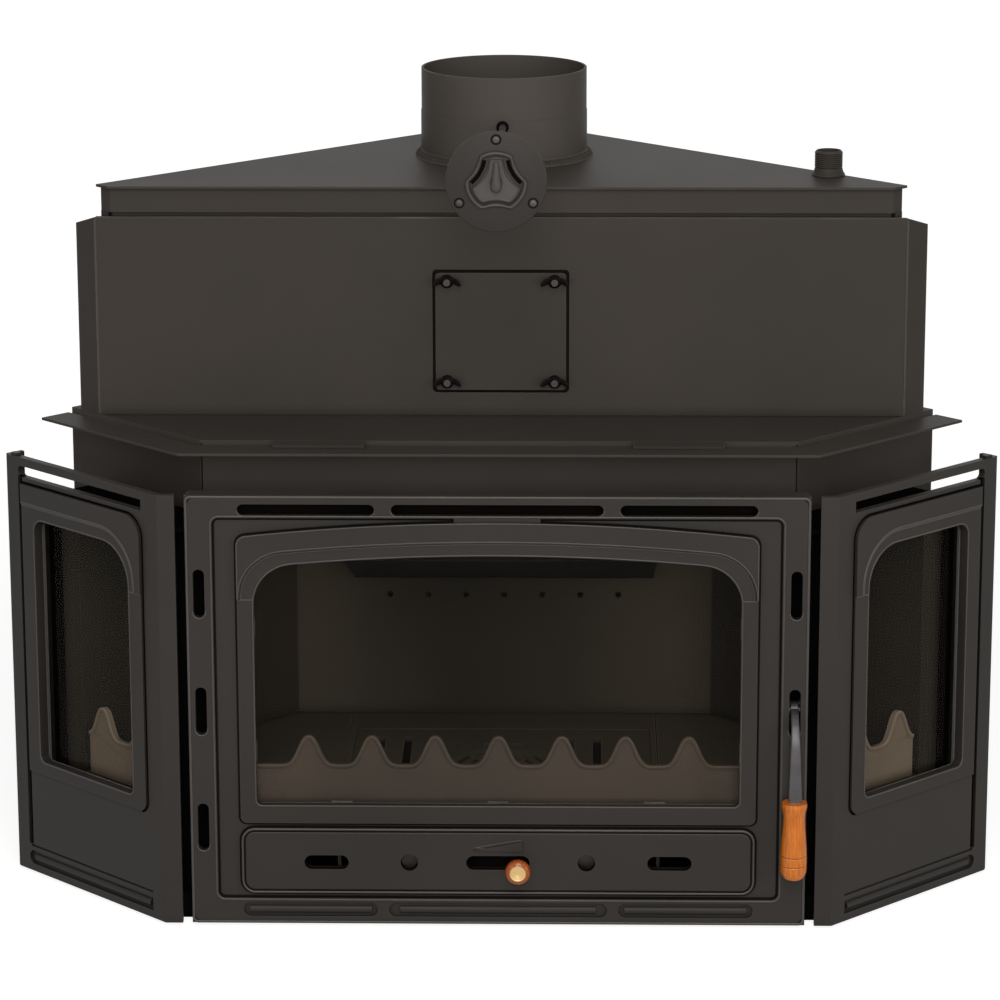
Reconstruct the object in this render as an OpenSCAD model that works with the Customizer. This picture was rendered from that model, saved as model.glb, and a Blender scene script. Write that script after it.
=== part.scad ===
// Three-sided corner fireplace insert with a boiler body on top.
// The origin is on the floor under the flue axis. +X is to the right seen from
// the front, +Y points back into the corner, +Z is up. All sizes are millimetres.
// Depths called "station" run along a side casting from its corner with the door.

/* [Castings] */
// From the flue axis forward to the face of the door
door_reach = 455; // [440:1:480]
// Half width of the door
door_half = 354; // [350:1:360]
// Distance from the door's edge to the corner where a side casting turns forward
side_gap = 31; // [29:1:40]
// Length of a side casting along its face
side_len = 280; // [276:1:290]
// Width of the strip of a side casting that faces forward
side_return = 20; // [16:1:22]
// Height of the door and the side castings
casting_h = 511; // [505:1:520]
// Wall thickness of the castings
casting_t = 9; // [7:0.5:10]
// Height of the castings above the floor
casting_lift = 4; // [3:1:8]
// Depth of the rim round the back of the door
door_rim_d = 24; // [18:1:26]
// Thickness of the rim round the back of a casting
rim_t = 6; // [4:0.5:7]
// Width of the stepped edge round a casting
edge_step_w = 3.5; // [2:0.5:5]
// Depth of the stepped edge
edge_step_d = 2; // [1:0.5:3]

/* [Door window] */
// Width of the door beside its window
window_side = 77; // [75:1:90]
// Height of the window's lower edge above the door's foot
window_low = 144; // [138:1:160]
// Height of the crown of the window above the door's foot
window_crown = 441; // [420:1:443]
// Radius of the window's upper corners
window_r = 47; // [20:1:55]
// Radius of the slight arch along the top of the window
arch_r = 2600; // [2300:50:6000]
// Radius of the window's lower corners
window_low_r = 7; // [3:1:15]

/* [Door relief] */
// Width of the raised frame beside the window
frame_w = 19; // [17:0.5:22]
// Lower edge of the raised frame
frame_low = 122; // [118:1:132]
// Height at which the arched hood starts
hood_foot = 390; // [360:1:400]
// Height of the hood's crown
hood_crown = 480.5; // [477:0.5:482]
// Half width of the flat land that joins the hood to the door's border
hood_land_half = 49; // [30:1:80]
// Radius of the hood's outer corners
hood_r = 11; // [8:1:20]
// Gap between the hood's inner edge and the window at the crown
hood_inset = 17; // [14:1:20]
// How far the window frame stands proud of the sunk panel
frame_proud = 3; // [1.5:0.5:4]
// How far the hood stands proud of the sunk panel
hood_proud = 6; // [4:0.5:7]
// Width of the border beside the sunk panel of the door
border_side = 31; // [28:1:33]
// Lower edge of the sunk panel
border_low = 31; // [29:1:34]
// Upper edge of the sunk panel
border_high = 485; // [483:1:486]
// Radius of the sunk panel's corners
border_r = 8; // [5:1:12]
// Depth of the sunk panel
panel_d = 3; // [1:0.5:3.5]

/* [Slots] */
// Width of the air slots in the castings
slot_w = 13; // [10:1:14]
// Height of the centre line of the upper slots
slot_top_z = 494.5; // [492:0.5:497]
// Half length of the middle upper slot
slot_mid_half = 120; // [100:1:125]
// Distance from one upper slot to the next
slot_bridge = 19; // [14:1:26]
// Distance from the door's edge to the outer upper slots
slot_out_in = 60; // [52:1:80]
// Distance from the door's edge to the middle of the upright slots
slot_side_in = 15; // [13:0.5:17]
// Length of an upright slot
slot_side_len = 57; // [50:1:60]
// Height of the centre of the lowest upright slot
slot_side_low = 117; // [112:1:125]
// Height from one upright slot to the next
slot_side_pitch = 139.5; // [136:0.5:142]
// Height of the centre line of the blind grooves at the foot
groove_z = 17.5; // [16:0.5:19]
// Width of the blind grooves
groove_w = 17; // [12:1:18]
// Depth of the blind grooves
groove_d = 4; // [2:0.5:6]

/* [Air panel] */
// Distance from the door's edge to the raised panel that holds the air openings
air_side = 59; // [56:1:70]
// Lower edge of the air panel
air_low = 38; // [37:1:42]
// Upper edge of the air panel
air_high = 116; // [110:1:117]
// Corner radius of the air panel
air_r = 15; // [6:1:20]
// How far the air panel stands proud of the sunk panel
air_proud = 4; // [2:0.5:5]
// Width of the moulded edge round the air panel
air_edge_w = 5; // [3:0.5:6]
// Height of the centre line of the air openings
air_z = 75.5; // [73:0.5:80]
// Width of the air slots
air_slot_w = 17; // [14:1:18]
// Distance from the air panel's edge to the outer air slots
air_slot_in = 72; // [60:1:80]
// Length of the outer air slots
air_slot_len = 51; // [44:1:54]
// Distance of the round air holes from the middle
air_hole_x = 102; // [95:1:110]
// Diameter of the round air holes
air_hole_d = 20; // [16:1:22]
// Half length of the slot that the knob runs in
knob_slot_half = 36.5; // [34:0.5:45]
// Place of the knob at rest, right of the middle
knob_x = 23.5; // [20:0.5:24]
// Diameter of the knob
knob_d = 30; // [24:1:33]
// How far the knob starts in front of the door face
knob_out = 24; // [16:1:28]
// Diameter of the knob's stem
stem_d = 8; // [6:1:10]
// Thickness of the sliding plate behind the air openings
slide_t = 2.4; // [2:0.2:3]

/* [Latch] */
// Height of the latch pivot above the door's foot
latch_z = 256; // [250:1:262]
// Depth of the latch pivot behind the face of the door
latch_depth = 18; // [17:0.5:19]
// Radius of the latch pivot pin
latch_pin_r = 4; // [3:0.25:4.5]
// Radius of the hub on the latch lever
latch_hub_r = 8.5; // [7:0.5:8.5]
// Thickness of the latch lever at its hub
latch_w = 9; // [7:0.5:10]
// Width of the shank where it enters the grip
shank_w = 17; // [13:1:18]
// Thickness of the shank
shank_t = 6; // [4:0.5:8]
// Distance of the shank in front of the door face
shank_reach = 23; // [22:0.5:30]
// Height of the top of the grip above the door's foot
grip_top = 158; // [150:1:160]
// Length of the wooden grip
grip_len = 94; // [85:1:95]
// Largest radius of the wooden grip
grip_r = 16.2; // [13:0.1:17]

/* [Hinge] */
// Distance of the hinge axis in from the edge of the door
hinge_in = 8; // [8:0.5:9]
// Depth of the hinge axis behind the face of the door
hinge_depth = 18; // [17.5:0.25:18.5]
// Radius of a hinge pin
hinge_pin_r = 4; // [3:0.25:4.5]
// Radius of the hinge lugs
hinge_lug_r = 8; // [7:0.5:8]
// Height of the lower hinge lug above the door's foot
hinge_low_z = 42; // [36:1:50]
// Height of the upper hinge lug above the door's foot
hinge_high_z = 448; // [440:1:452]
// Length of a hinge lug
hinge_lug_h = 24; // [18:1:28]
// Thickness of a hinge bracket
bracket_t = 6; // [5:1:8]
// Radial running clearance of the pins and the damper rod
run_gap = 0.06; // [0.03:0.01:0.09]

/* [Side castings] */
// Station where the side window starts
side_win_from = 51.5; // [48:0.5:56]
// Station where the side window ends
side_win_to = 225; // [200:1:226]
// Radius of the side window's small corners
side_win_r = 8; // [4:1:12]
// Radius of the side window's upper outer corner
side_win_far_r = 15; // [8:1:20]
// Station where the raised pad of a side casting starts
side_pad_from = 28.5; // [27:0.5:32]
// Radius of the pad's upper corner beside the door
side_pad_r = 26; // [20:1:40]
// Radius of the pad's lower corner beside the door
side_pad_low_r = 12; // [6:1:20]
// Width of the groove along the foot of a side casting
side_line_w = 3; // [2:0.5:5]
// Depth of that groove
side_line_d = 2; // [1:0.5:3]
// Station where the upper slot of a side casting ends
side_slot_to = 256; // [240:1:262]
// Station of the long upright groove
side_groove_s = 252; // [240:1:262]
// Width of the long upright groove
side_groove_w = 8; // [5:1:9]
// Depth of the long upright groove
side_groove_d = 5; // [3:0.5:6]
// Station where the hood on a side casting starts
side_hood_from = 40; // [38:1:42]

/* [Glass] */
// Thickness of the ceramic glass
glass_t = 4; // [3:0.5:5]
// How far the glass laps over the edge of its window
glass_lap = 8; // [5:0.5:8]
// Thickness of the flat seal under the glass
seal_t = 3; // [2:0.5:4]
// Width of the flat seal under the glass
seal_w = 6; // [4:0.5:7]
// Distance from the door's edge to the centre line of its rope seal
rope_in = 40; // [36:1:44]
// Thickness of the door's rope seal
rope_d = 10; // [8:0.5:11]
// Lower centre line of the rope seal
rope_low = 27; // [26:1:28]
// Upper centre line of the rope seal
rope_high = 459; // [458:1:460]

/* [Throat] */
// Depth behind the castings' faces of the throat
throat_d = 30; // [28:0.5:32]
// Depth behind the castings' faces of the casing
casing_d = 100; // [95:1:110]
// Wall thickness of the throat
throat_t = 5; // [4:0.5:6]
// Height of the throat floor above the floor
throat_low = 24; // [22:1:26]
// Height of the top of the throat above the floor
throat_high = 469; // [466:1:471]
// Height of the lip along the top of the throat
throat_lip = 17; // [12:1:18]
// Distance from the door's edge to the opening between the corner posts
post_side = 48; // [46:1:51]
// Width of the land on a corner post that the door closes on
post_land = 24; // [22:0.5:24]
// Station of the end plate of a side throat
throat_end_s = 230; // [228:1:236]

/* [Casing] */
// Station of the outer corner of the casing
casing_s = 278.6; // [270:0.1:280]
// From the flue axis back to the rear of the casing
casing_back = 175; // [160:1:180]
// Height of the casing to the top of its cover
casing_h = 555; // [550:1:570]
// Thickness of the base plate
base_t = 4; // [3:1:6]
// Thickness of the casing sheets
sheet_t = 4; // [3:0.5:6]
// Thickness of the casing cover
cover_t = 3; // [2:0.5:6]
// Depth behind the castings' faces of the trim flange
flange_d = 48; // [44:1:55]
// Width of the trim flange
flange_w = 40; // [30:1:44]
// Thickness of the trim flange
flange_t = 3; // [2:0.5:4]
// Station of the tips of the trim flange
flange_s = 270; // [255:1:276]
// Distance from the middle to the centre of a flange tab
tab_x = 206; // [180:1:220]
// Width of a flange tab
tab_w = 105; // [80:1:120]
// Length of a flange tab from front to back
tab_l = 40; // [32:1:50]

/* [Firebox] */
// Height of the hearth above the floor
hearth_z = 132; // [126:1:138]
// Thickness of the hearth plates
hearth_t = 8; // [6:1:12]
// Depth behind the door face of the rear lining
lining_back = 410; // [395:1:425]
// Station of the side linings
lining_s = 199; // [190:1:205]
// Depth behind the side casting at which a side lining starts
lining_from = 42; // [38:1:50]
// Thickness of the cast lining plates
lining_t = 12; // [8:1:14]
// Half width of the grate plate
grate_half = 187; // [170:1:190]
// Depth behind the door face of the front of the hearth
hearth_front = 37; // [35:0.5:40]
// Depth behind the door face of the grate's recessed border
grate_border = 343; // [320:1:360]
// Radius of the round ring grate
ring_r = 62; // [50:1:80]
// Number of rings in the round grate
ring_count = 3; // [2:1:4]
// Depth behind the door face of the middle of the round grate
ring_at = 205; // [190:1:215]
// Width of a bar of the round grate
ring_bar = 7; // [5:0.5:8]
// Number of air holes in the rear lining
air_jets = 7; // [3:2:9]
// Distance from one air hole to the next
jet_pitch = 47; // [40:1:52]
// Radius of an air hole
jet_r = 3.5; // [2.5:0.5:5]
// Height of the air holes above the floor
jet_z = 285; // [270:1:295]
// Half width of the baffle
baffle_half = 184; // [150:1:190]
// Height of the baffle's rear edge above the floor
baffle_z = 306; // [300:1:320]
// Slope of the baffle in degrees
baffle_slope = 19.5; // [15:0.5:22]
// Length of the baffle along its slope
baffle_len = 270; // [220:1:280]
// Thickness of the baffle
baffle_t = 8; // [6:1:12]

/* [Log guards] */
// Distance from a casting face back to the log guard
guard_d = 46; // [44:1:60]
// Thickness of a log guard
guard_t = 7; // [5:1:9]
// Height of the troughs above the hearth
guard_trough = 50; // [40:1:60]
// Height of the humps above the troughs
guard_hump = 35; // [20:1:40]
// Distance from hump to hump
guard_pitch = 73.3; // [66:0.1:74]
// Number of humps on the front guard
guard_humps = 7; // [5:2:7]
// Gap between the ends of the front guard and the corner posts
guard_gap = 10; // [6:1:30]
// Station of the outer hump of a side guard
guard_side_s = 167; // [160:1:172]

/* [Ash pan] */
// Half width of the ash pan
pan_half = 168; // [140:1:172]
// Depth of the ash pan from front to back
pan_d = 250; // [200:1:260]
// Height of the ash pan
pan_h = 62; // [40:1:66]
// Wall thickness of the ash pan
pan_t = 2; // [1.5:0.5:3]

/* [Boiler] */
// Half width of the boiler's front panel
boiler_half = 474; // [455:1:478]
// From the flue axis forward to the boiler's front panel
boiler_front_d = 225; // [215:1:235]
// Width of a boiler flank
flank_len = 35; // [30:1:44]
// Fall of a flank's top edge towards its rear corner
flank_fall = 11; // [6:1:14]
// Half width of the front edge of the top plate
top_half = 457; // [450:1:460]
// Width of the bevelled ends of the top plate
top_flank = 22; // [20:1:24]
// How far the front of the top plate overhangs the boiler's front panel
top_out = 4; // [2:1:5]
// From the flue axis back to the boiler's rear panel
boiler_back = 165; // [150:1:170]
// Height of the top of the front panel above the floor
boiler_high = 791; // [780:1:796]
// Thickness of the boiler plates
boiler_t = 5; // [4:0.5:6]
// Width of the water space on each side of the smoke chamber
water_side = 144; // [130:1:150]
// Width of the water space before and behind the smoke chamber
water_gap = 45; // [35:1:50]
// Height of the shadow neck under the top box
neck_h = 6; // [4:1:8]
// Height of the top box
top_box_h = 28; // [20:1:32]
// How far the top plate overhangs the top box
top_over = 4; // [3:1:5]
// Thickness of the top plate and of the top box's walls
top_t = 3; // [2:0.5:3]
// Number of exchanger tubes
tube_count = 5; // [3:1:6]
// Radius of an exchanger tube
tube_r = 21; // [16:0.5:24]

/* [Hatch] */
// Width of the hatch cover
hatch_w = 153; // [150:1:170]
// Height of the hatch cover
hatch_h = 140; // [138:1:150]
// Height of the centre of the hatch above the floor
hatch_z = 656; // [640:1:670]
// Thickness of the hatch cover
hatch_t = 5; // [4:0.5:6]
// Gap between the hatch cover and the edge of its cut-out in the front panel
hatch_gap = 3.5; // [2:0.5:5]
// Width of the frame behind the front panel past its cut-out
hatch_land = 8; // [6:1:12]
// Distance between the hatch studs from side to side
stud_dx = 126; // [118:1:132]
// Distance between the hatch studs from top to bottom
stud_dz = 120; // [108:1:126]
// Radius of a hatch stud
stud_r = 4; // [3:0.5:5]
// Width of the hatch opening
hatch_hole_w = 104; // [90:1:106]
// Height of the hatch opening
hatch_hole_h = 92; // [80:1:96]

/* [Flue] */
// Outer radius of the flue collar
flue_r = 100; // [90:1:104]
// Wall thickness of the flue collar
flue_t = 3; // [2:0.5:4]
// How much the collar's upper end is sized down in radius for the flue pipe
flue_step = 0.6; // [0.4:0.1:1]
// Height of the flue collar above the top plate
flue_h = 107; // [100:1:120]
// Width of the welded foot round the collar
weld_w = 8; // [5:1:10]
// Height of the damper rod above the top plate
rod_z = 49; // [44:1:56]
// Radius of the damper rod
rod_r = 4; // [3:0.5:5]
// Gap round the damper disc
disc_gap = 2; // [1:0.5:3]
// Thickness of the damper disc
disc_t = 3; // [2:0.5:4]

/* [Rosette] */
// Radius of the rosette plate
rosette_r = 56; // [52:1:60]
// Thickness of the rosette plate
rosette_t = 4; // [3:0.5:6]
// Distance of the rosette's back in front of the door face
rosette_out = 16; // [14:1:30]
// Radius of the circle of the rosette's screw holes
rosette_pcr = 47; // [45:0.5:48]
// Radius of a screw hole in the rosette
rosette_hole_r = 3; // [2:0.25:3.5]
// Outer radius of the raised trefoil
trefoil_r = 36; // [34:0.5:40]
// Distance of the centres of the trefoil's hollow sides
trefoil_d = 55; // [52:0.5:58]
// Radius of the trefoil's hollow sides
trefoil_cut = 35; // [32:0.5:36]
// Width of the trefoil's raised rim
trefoil_rim = 3; // [2:0.5:4]
// How far the trefoil stands proud
trefoil_proud = 4; // [2:0.5:5]
// Radius of the round end of the damper lever
lever_r = 6; // [5.5:0.25:7]
// Length of the damper lever above its pivot
lever_up = 24; // [18:1:30]
// Length of the damper lever below its pivot
lever_down = 11; // [8:1:14]

/* [Water connections] */
// Outer radius of the threaded nipples
nipple_r = 16.6; // [13:0.1:21]
// Wall thickness of the nipples
nipple_t = 3.4; // [2.5:0.1:4]
// Height of the supply nipple above the top plate
nipple_h = 30; // [26:1:44]
// Distance from the end of the top plate to the supply nipple
supply_in = 72; // [60:1:90]
// Place of the supply nipple in front of the flue axis
supply_y = 145; // [130:1:160]
// Place of the return nipple right of the flue axis
return_x = 80; // [60:1:100]
// Height of the return nipple above the floor
return_z = 84; // [70:1:100]

/* [Hidden] */
$fn = 96;
side_angle = 45;
half_turn = tan(side_angle / 2);
door_y = -door_reach;
side_near = door_half + side_gap;
window_half = door_half - window_side;
frame_half = window_half + frame_w;
border_half = door_half - border_side;
slot_out_from = slot_mid_half + slot_bridge;
slot_out_to = door_half - slot_out_in;
slot_side_x = door_half - slot_side_in;
air_half = door_half - air_side;
air_slot_from = air_half - air_slot_in - air_slot_len;
rope_half = door_half - rope_in;
post_in = door_half - post_side;
guard_half = post_in - guard_gap;
neck_in = boiler_t + top_out - top_over;
supply_x = top_half - supply_in;
eps = 0.01;
seat_gap = 0.3;
paint = [0.26, 0.24, 0.22];
iron = [0.23, 0.21, 0.20];

// A room corner's outline: a front edge, two sides at 45 degrees, two long backs
// square to the sides and a short rear edge.
function plan(half, front, len, back) =
  let (ox = half + len * cos(side_angle))
  let (oy = front + len * sin(side_angle))
  let (bx = ox + oy - back)
  [[-half, front], [half, front], [ox, oy], [bx, back], [-bx, back], [-ox, oy]];
// The outline at depth d behind the casting faces, cut off at a station.
function behind(d, station, back) =
  plan(side_near - d * half_turn, door_y + d, station - d * half_turn, back);
// An outline moved inwards by d on every side.
function inset(half, front, len, back, d) =
  plan(half - d * half_turn, front + d, len - d * half_turn - d, back - d);
// The open path of an outline's front and sides, from left tip to right tip.
function front_path(p) = [p[5], p[0], p[1], p[2]];
// A band between two such paths.
function band(outer, inner) =
  concat(front_path(outer), [for (i = [3:-1:0]) front_path(inner)[i]]);
// Points of an arc.
function arc(cx, cy, r, from, to, steps) =
  [for (i = [0:steps]) let (a = from + (to - from) * i / steps) [cx + r * cos(a), cy + r * sin(a)]];
function mirrored(pts) = [for (i = [len(pts) - 1:-1:0]) [-pts[i][0], pts[i][1]]];
// Height of the centre of an arch's corner arc, tangent to the crown arc.
function corner_z(half, crown, r) =
  crown - arch_r + sqrt(pow(arch_r - r, 2) - pow(half - r, 2));
function crown_angle(half, crown, r) =
  atan2(corner_z(half, crown, r) - crown + arch_r, half - r);
// The right half of an arched outline, from its lower corner to its crown.
function arch_right(half, low, crown, r) =
  concat([[half, low]],
    arc(half - r, corner_z(half, crown, r), r, 0, crown_angle(half, crown, r), 10),
    arc(0, crown - arch_r, arch_r, crown_angle(half, crown, r), 90, 6));

casing_plan = behind(casing_d, casing_s, casing_back);
casing_in = behind(casing_d + sheet_t, casing_s - sheet_t, casing_back - sheet_t);
throat_plan = behind(throat_d, throat_end_s + throat_t, casing_back);
throat_in = behind(casing_d + sheet_t, throat_end_s + throat_t, casing_back);
boiler_plan = plan(boiler_half, -boiler_front_d, flank_len, boiler_back);
boiler_in = inset(boiler_half, -boiler_front_d, flank_len, boiler_back, boiler_t);
boiler_low = casing_h;
shoulder_z = boiler_high - flank_fall;
top_z = boiler_high + neck_h + top_box_h + top_t;
flue_top = top_z + flue_h;
rod_clear = 3;
flue_seat = flue_h - rod_z - rod_r - rod_clear;
rod_height = top_z + rod_z;
lining_y = door_y + lining_back;
window_z = casting_lift;
glass_y = casting_t + seal_t;
hinge_x = -door_half + hinge_in;
hinge_y = door_y + hinge_depth;
latch_y = door_y + latch_depth;
hearth_low = hearth_z - hearth_t;
throat_under = throat_high - throat_t;

// Upright prism on a plan outline.
module prism(points, low, high) {
  translate([0, 0, low])
    linear_extrude(high - low)
      polygon(points);
}
// One mitred wall of a pair of outlines.
module wall(outer, inner, i, low, high) {
  j = (i + 1) % len(outer);
  prism([outer[i], outer[j], inner[j], inner[i]], low, high);
}
// Carries an upright drawing (x across, y up) through the depths from and to.
module upright(from, to) {
  translate([0, to, 0])
    rotate([90, 0, 0])
      linear_extrude(to - from)
        children();
}
module door_place() {
  translate([0, door_y, casting_lift])
    children();
}
// Local frame of the right side casting: x is the station, y the depth.
module right_side(z = 0) {
  translate([side_near, door_y, z])
    rotate([0, 0, side_angle])
      children();
}
module left_side(z = 0) {
  mirror([1, 0, 0])
    right_side(z)
      children();
}
module both_sides(z = 0) {
  right_side(z) children();
  left_side(z) children();
}
module both() {
  children();
  mirror([1, 0, 0]) children();
}
// Rectangle with round corners.
module round_rect(x0, x1, y0, y1, r) {
  translate([x0 + r, y0])
    square([x1 - x0 - 2 * r, y1 - y0]);
  translate([x0, y0 + r])
    square([x1 - x0, y1 - y0 - 2 * r]);
  for (x = [x0 + r, x1 - r], y = [y0 + r, y1 - r])
    translate([x, y]) circle(r, $fn = 48);
}
// Slot with round ends, lying or standing.
module slot(x0, x1, y0, y1) {
  r = min(x1 - x0, y1 - y0) / 2;
  if (x1 - x0 > y1 - y0) {
    translate([x0 + r, y0]) square([x1 - x0 - 2 * r, y1 - y0]);
    for (x = [x0 + r, x1 - r]) translate([x, y0 + r]) circle(r, $fn = 32);
  } else {
    translate([x0, y0 + r]) square([x1 - x0, y1 - y0 - 2 * r]);
    for (y = [y0 + r, y1 - r]) translate([x0 + r, y]) circle(r, $fn = 32);
  }
}
// Tube along Z.
module tube(r, t, h) {
  difference() {
    cylinder(r = r, h = h);
    translate([0, 0, -1]) cylinder(r = r - t, h = h + 2);
  }
}

module base_plate() {
  color(paint) prism(casing_plan, 0, base_t);
}
module casing_header() {
  color(paint)
    prism(band(casing_plan, casing_in), throat_high, casing_h - cover_t);
}
module casing_sill() {
  color(paint)
    prism(band(casing_plan, casing_in), base_t, throat_low);
}
// Long back sheets with the narrow strip that turns forward beside each throat.
module casing_back_panels() {
  color(paint) both() {
    wall(casing_plan, casing_in, 2, base_t, casing_h - cover_t);
    prism([on_side(throat_end_s + throat_t, casing_d), casing_plan[2], casing_in[2],
      on_side(throat_end_s + throat_t, casing_d + sheet_t)], throat_low, throat_high);
  }
}
module casing_rear() {
  color(paint) difference() {
    wall(casing_plan, casing_in, 3, base_t, casing_h - cover_t);
    translate([return_x, casing_back - sheet_t - 1, return_z])
      rotate([-90, 0, 0])
        cylinder(r = nipple_r - nipple_t, h = sheet_t + 2);
  }
}
// Smoke way from the firebox up into the boiler.
smoke_half = 270;
smoke_front = -boiler_front_d + water_gap + 3 * boiler_t;
smoke_back = lining_y - 8;
module casing_cover() {
  color(paint) difference() {
    prism(casing_plan, casing_h - cover_t, casing_h);
    translate([-smoke_half, smoke_front, casing_h - cover_t - 1])
      cube([2 * smoke_half, smoke_back - smoke_front, cover_t + 2]);
  }
}

// Corner post between the door and a side window, in plan, right hand side.
function on_side(s, d) =
  [side_near + s * cos(side_angle) - d * sin(side_angle),
  door_y + s * sin(side_angle) + d * cos(side_angle)];
post_plan = [[post_in, door_y + throat_d],
  [post_in + post_land, door_y + throat_d],
  [post_in + post_land, door_y + throat_d + 28],
  on_side(25, throat_d + 22),
  on_side(25, throat_d),
  on_side(45, throat_d),
  on_side(45, casing_d),
  [post_in, door_y + casing_d]];
post_core = [[post_in + throat_t, door_y + throat_d + throat_t],
  [post_in + post_land - throat_t, door_y + throat_d + throat_t],
  [post_in + post_land - throat_t, door_y + throat_d + 34],
  on_side(25 + throat_t, throat_d + 27),
  on_side(25 + throat_t, throat_d + throat_t),
  on_side(45 - throat_t, throat_d + throat_t),
  on_side(45 - throat_t, casing_d - throat_t),
  [post_in + throat_t, door_y + casing_d - throat_t]];
module corner_posts() {
  color(paint) both() difference() {
    prism(post_plan, throat_low + throat_t, throat_under);
    prism(post_core, throat_low, throat_high);
  }
}
module throat_top() {
  color(paint) {
    prism(band(throat_plan, throat_in), throat_under, throat_high);
    translate([-post_in, door_y + throat_d, throat_high - throat_lip])
      cube([2 * post_in, throat_t, throat_lip]);
    both_sides(throat_high - throat_lip)
      translate([45, throat_d, 0])
        cube([throat_end_s - 45, throat_t, throat_lip]);
  }
}
module throat_floor() {
  color(paint) prism(band(throat_plan, throat_in), throat_low, throat_low + throat_t);
}
// End plate of each side throat, with the lip that the side casting closes on.
module throat_ends() {
  color(paint) both_sides(throat_low + throat_t) {
    h = throat_under - throat_low - throat_t;
    translate([throat_end_s, throat_d, 0])
      cube([throat_t, casing_d - throat_d + sheet_t, h]);
    translate([throat_end_s, throat_d, 0])
      cube([throat_lip + throat_t, throat_t, h]);
  }
}

// Inner walls of the water space, just behind the linings.
ledge_w = 12;
ledge_t = 5;
wall_s = lining_s + lining_t;
wall_back = lining_y + lining_t;
function station_sum(s) = side_near + door_y + s * (cos(side_angle) + sin(side_angle));
// The wall drops under the throat's top in front of the casing's face.
module firebox_plate(s, t, low, rear_low) {
  split = casing_d + sheet_t;
  back = lining_y + (s == lining_s ? 0 : lining_t);
  prism([on_side(s, lining_from), on_side(s + t, lining_from),
    on_side(s + t, split), on_side(s, split)], low, throat_under);
  prism([on_side(s, split), on_side(s + t, split),
    [station_sum(s + t) - back, back], [station_sum(s) - back, back]],
    rear_low, casing_h - cover_t);
}
module firebox_side_walls() {
  t = throat_t;
  low = throat_low + t;
  split = casing_d + sheet_t;
  color(paint) both() {
    firebox_plate(wall_s, t, low, base_t);
    right_side(low)
      translate([wall_s + t, lining_from, 0])
        cube([throat_end_s - wall_s - t, t, throat_under - low]);
    // Ledge under the hearth plate
    prism([on_side(wall_s - ledge_w, split), on_side(wall_s, split),
      [station_sum(wall_s) - wall_back, wall_back],
      [station_sum(wall_s - ledge_w) - wall_back, wall_back]],
      hearth_low - ledge_t, hearth_low);
  }
}
module firebox_rear_wall() {
  t = throat_t;
  half = station_sum(wall_s + t) - wall_back;
  color(paint)
    translate([-half, wall_back, base_t])
      cube([2 * half, t, casing_h - cover_t - base_t]);
}
module side_linings() {
  color(iron) both()
    firebox_plate(lining_s, lining_t, hearth_z, hearth_z);
}
module rear_lining() {
  half = station_sum(wall_s) - wall_back;
  color(iron) difference() {
    translate([-half, lining_y, hearth_z])
      cube([2 * half, lining_t, casing_h - cover_t - hearth_z]);
    for (i = [0:air_jets - 1])
      translate([(i - (air_jets - 1) / 2) * jet_pitch, lining_y - 1, jet_z])
        rotate([-90, 0, 0]) cylinder(r = jet_r, h = lining_t + 2, $fn = 24);
    // Pocket that carries the rear edge of the baffle
    translate([-baffle_half - 1, lining_y - 1, baffle_z])
      cube([2 * baffle_half + 2, 1 + baffle_seat + baffle_t * sin(baffle_slope) + seat_gap,
        baffle_t * 1.6]);
  }
}
// Box under the grate: it carries the hearth plates and holds the ash pan.
module ash_box() {
  w = 4;
  split = door_y + casing_d + sheet_t;
  front = door_y + hearth_front;
  rear = wall_back - 1;
  low = throat_low + throat_t;
  color(paint) {
    both() {
      translate([grate_half - w, front, low])
        cube([w, rear - front, hearth_low - low]);
      translate([grate_half - w, split, base_t])
        cube([w, rear - split, low - base_t]);
      translate([grate_half - ledge_w, front, hearth_low - ledge_t])
        cube([2 * ledge_w, rear - front, ledge_t]);
    }
    translate([-grate_half, rear - w, base_t])
      cube([2 * grate_half, w, hearth_low - base_t]);
    translate([-grate_half, split, throat_low])
      cube([2 * grate_half, rear - split, throat_t]);
  }
}
hearth_right = [[grate_half + 1, door_y + hearth_front],
  [post_in - 1, door_y + hearth_front],
  [post_in - 1, door_y + casing_d + 1],
  on_side(46, casing_d + 1),
  on_side(46, hearth_front),
  on_side(throat_end_s - 1, hearth_front),
  on_side(throat_end_s - 1, lining_from - 1),
  on_side(lining_s + lining_t - 1, lining_from - 1),
  [station_sum(lining_s + lining_t - 1) - wall_back + 1, wall_back - 1],
  [grate_half + 1, wall_back - 1]];
// The grate plate lies between the two hearth plates.
module hearth_plates() {
  color(iron) both() prism(hearth_right, hearth_low, hearth_z);
}
ring_y = door_y + ring_at;
module grate_plate() {
  color(iron) difference() {
    translate([-grate_half, door_y + hearth_front, hearth_low])
      cube([2 * grate_half, lining_back + lining_t - hearth_front - 1, hearth_t]);
    // Shallow well in front of the border line
    translate([-grate_half + 6, door_y + hearth_front + 18, hearth_z - 2])
      cube([2 * grate_half - 12, grate_border - hearth_front - 18, 3]);
    translate([0, ring_y, hearth_low - 1])
      cylinder(r = ring_r + 1, h = hearth_t + 2);
    for (side = [-1, 1], x = [ring_r + 20, ring_r + 53, ring_r + 86])
      translate([side * x - 5, ring_y - 60, hearth_low - 1])
        cube([10, grate_border - ring_at + 32, hearth_t + 2]);
    for (x = [-51, -17, 17, 51])
      translate([x - 5, ring_y + ring_r + 12, hearth_low - 1])
        cube([10, 12, hearth_t + 2]);
  }
  // Ledge that the round grate drops on
  color(iron) translate([0, ring_y, hearth_low - 4])
    difference() {
      cylinder(r = ring_r + 6, h = 4);
      translate([0, 0, -1]) cylinder(r = ring_r - 3, h = 6);
    }
}
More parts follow.
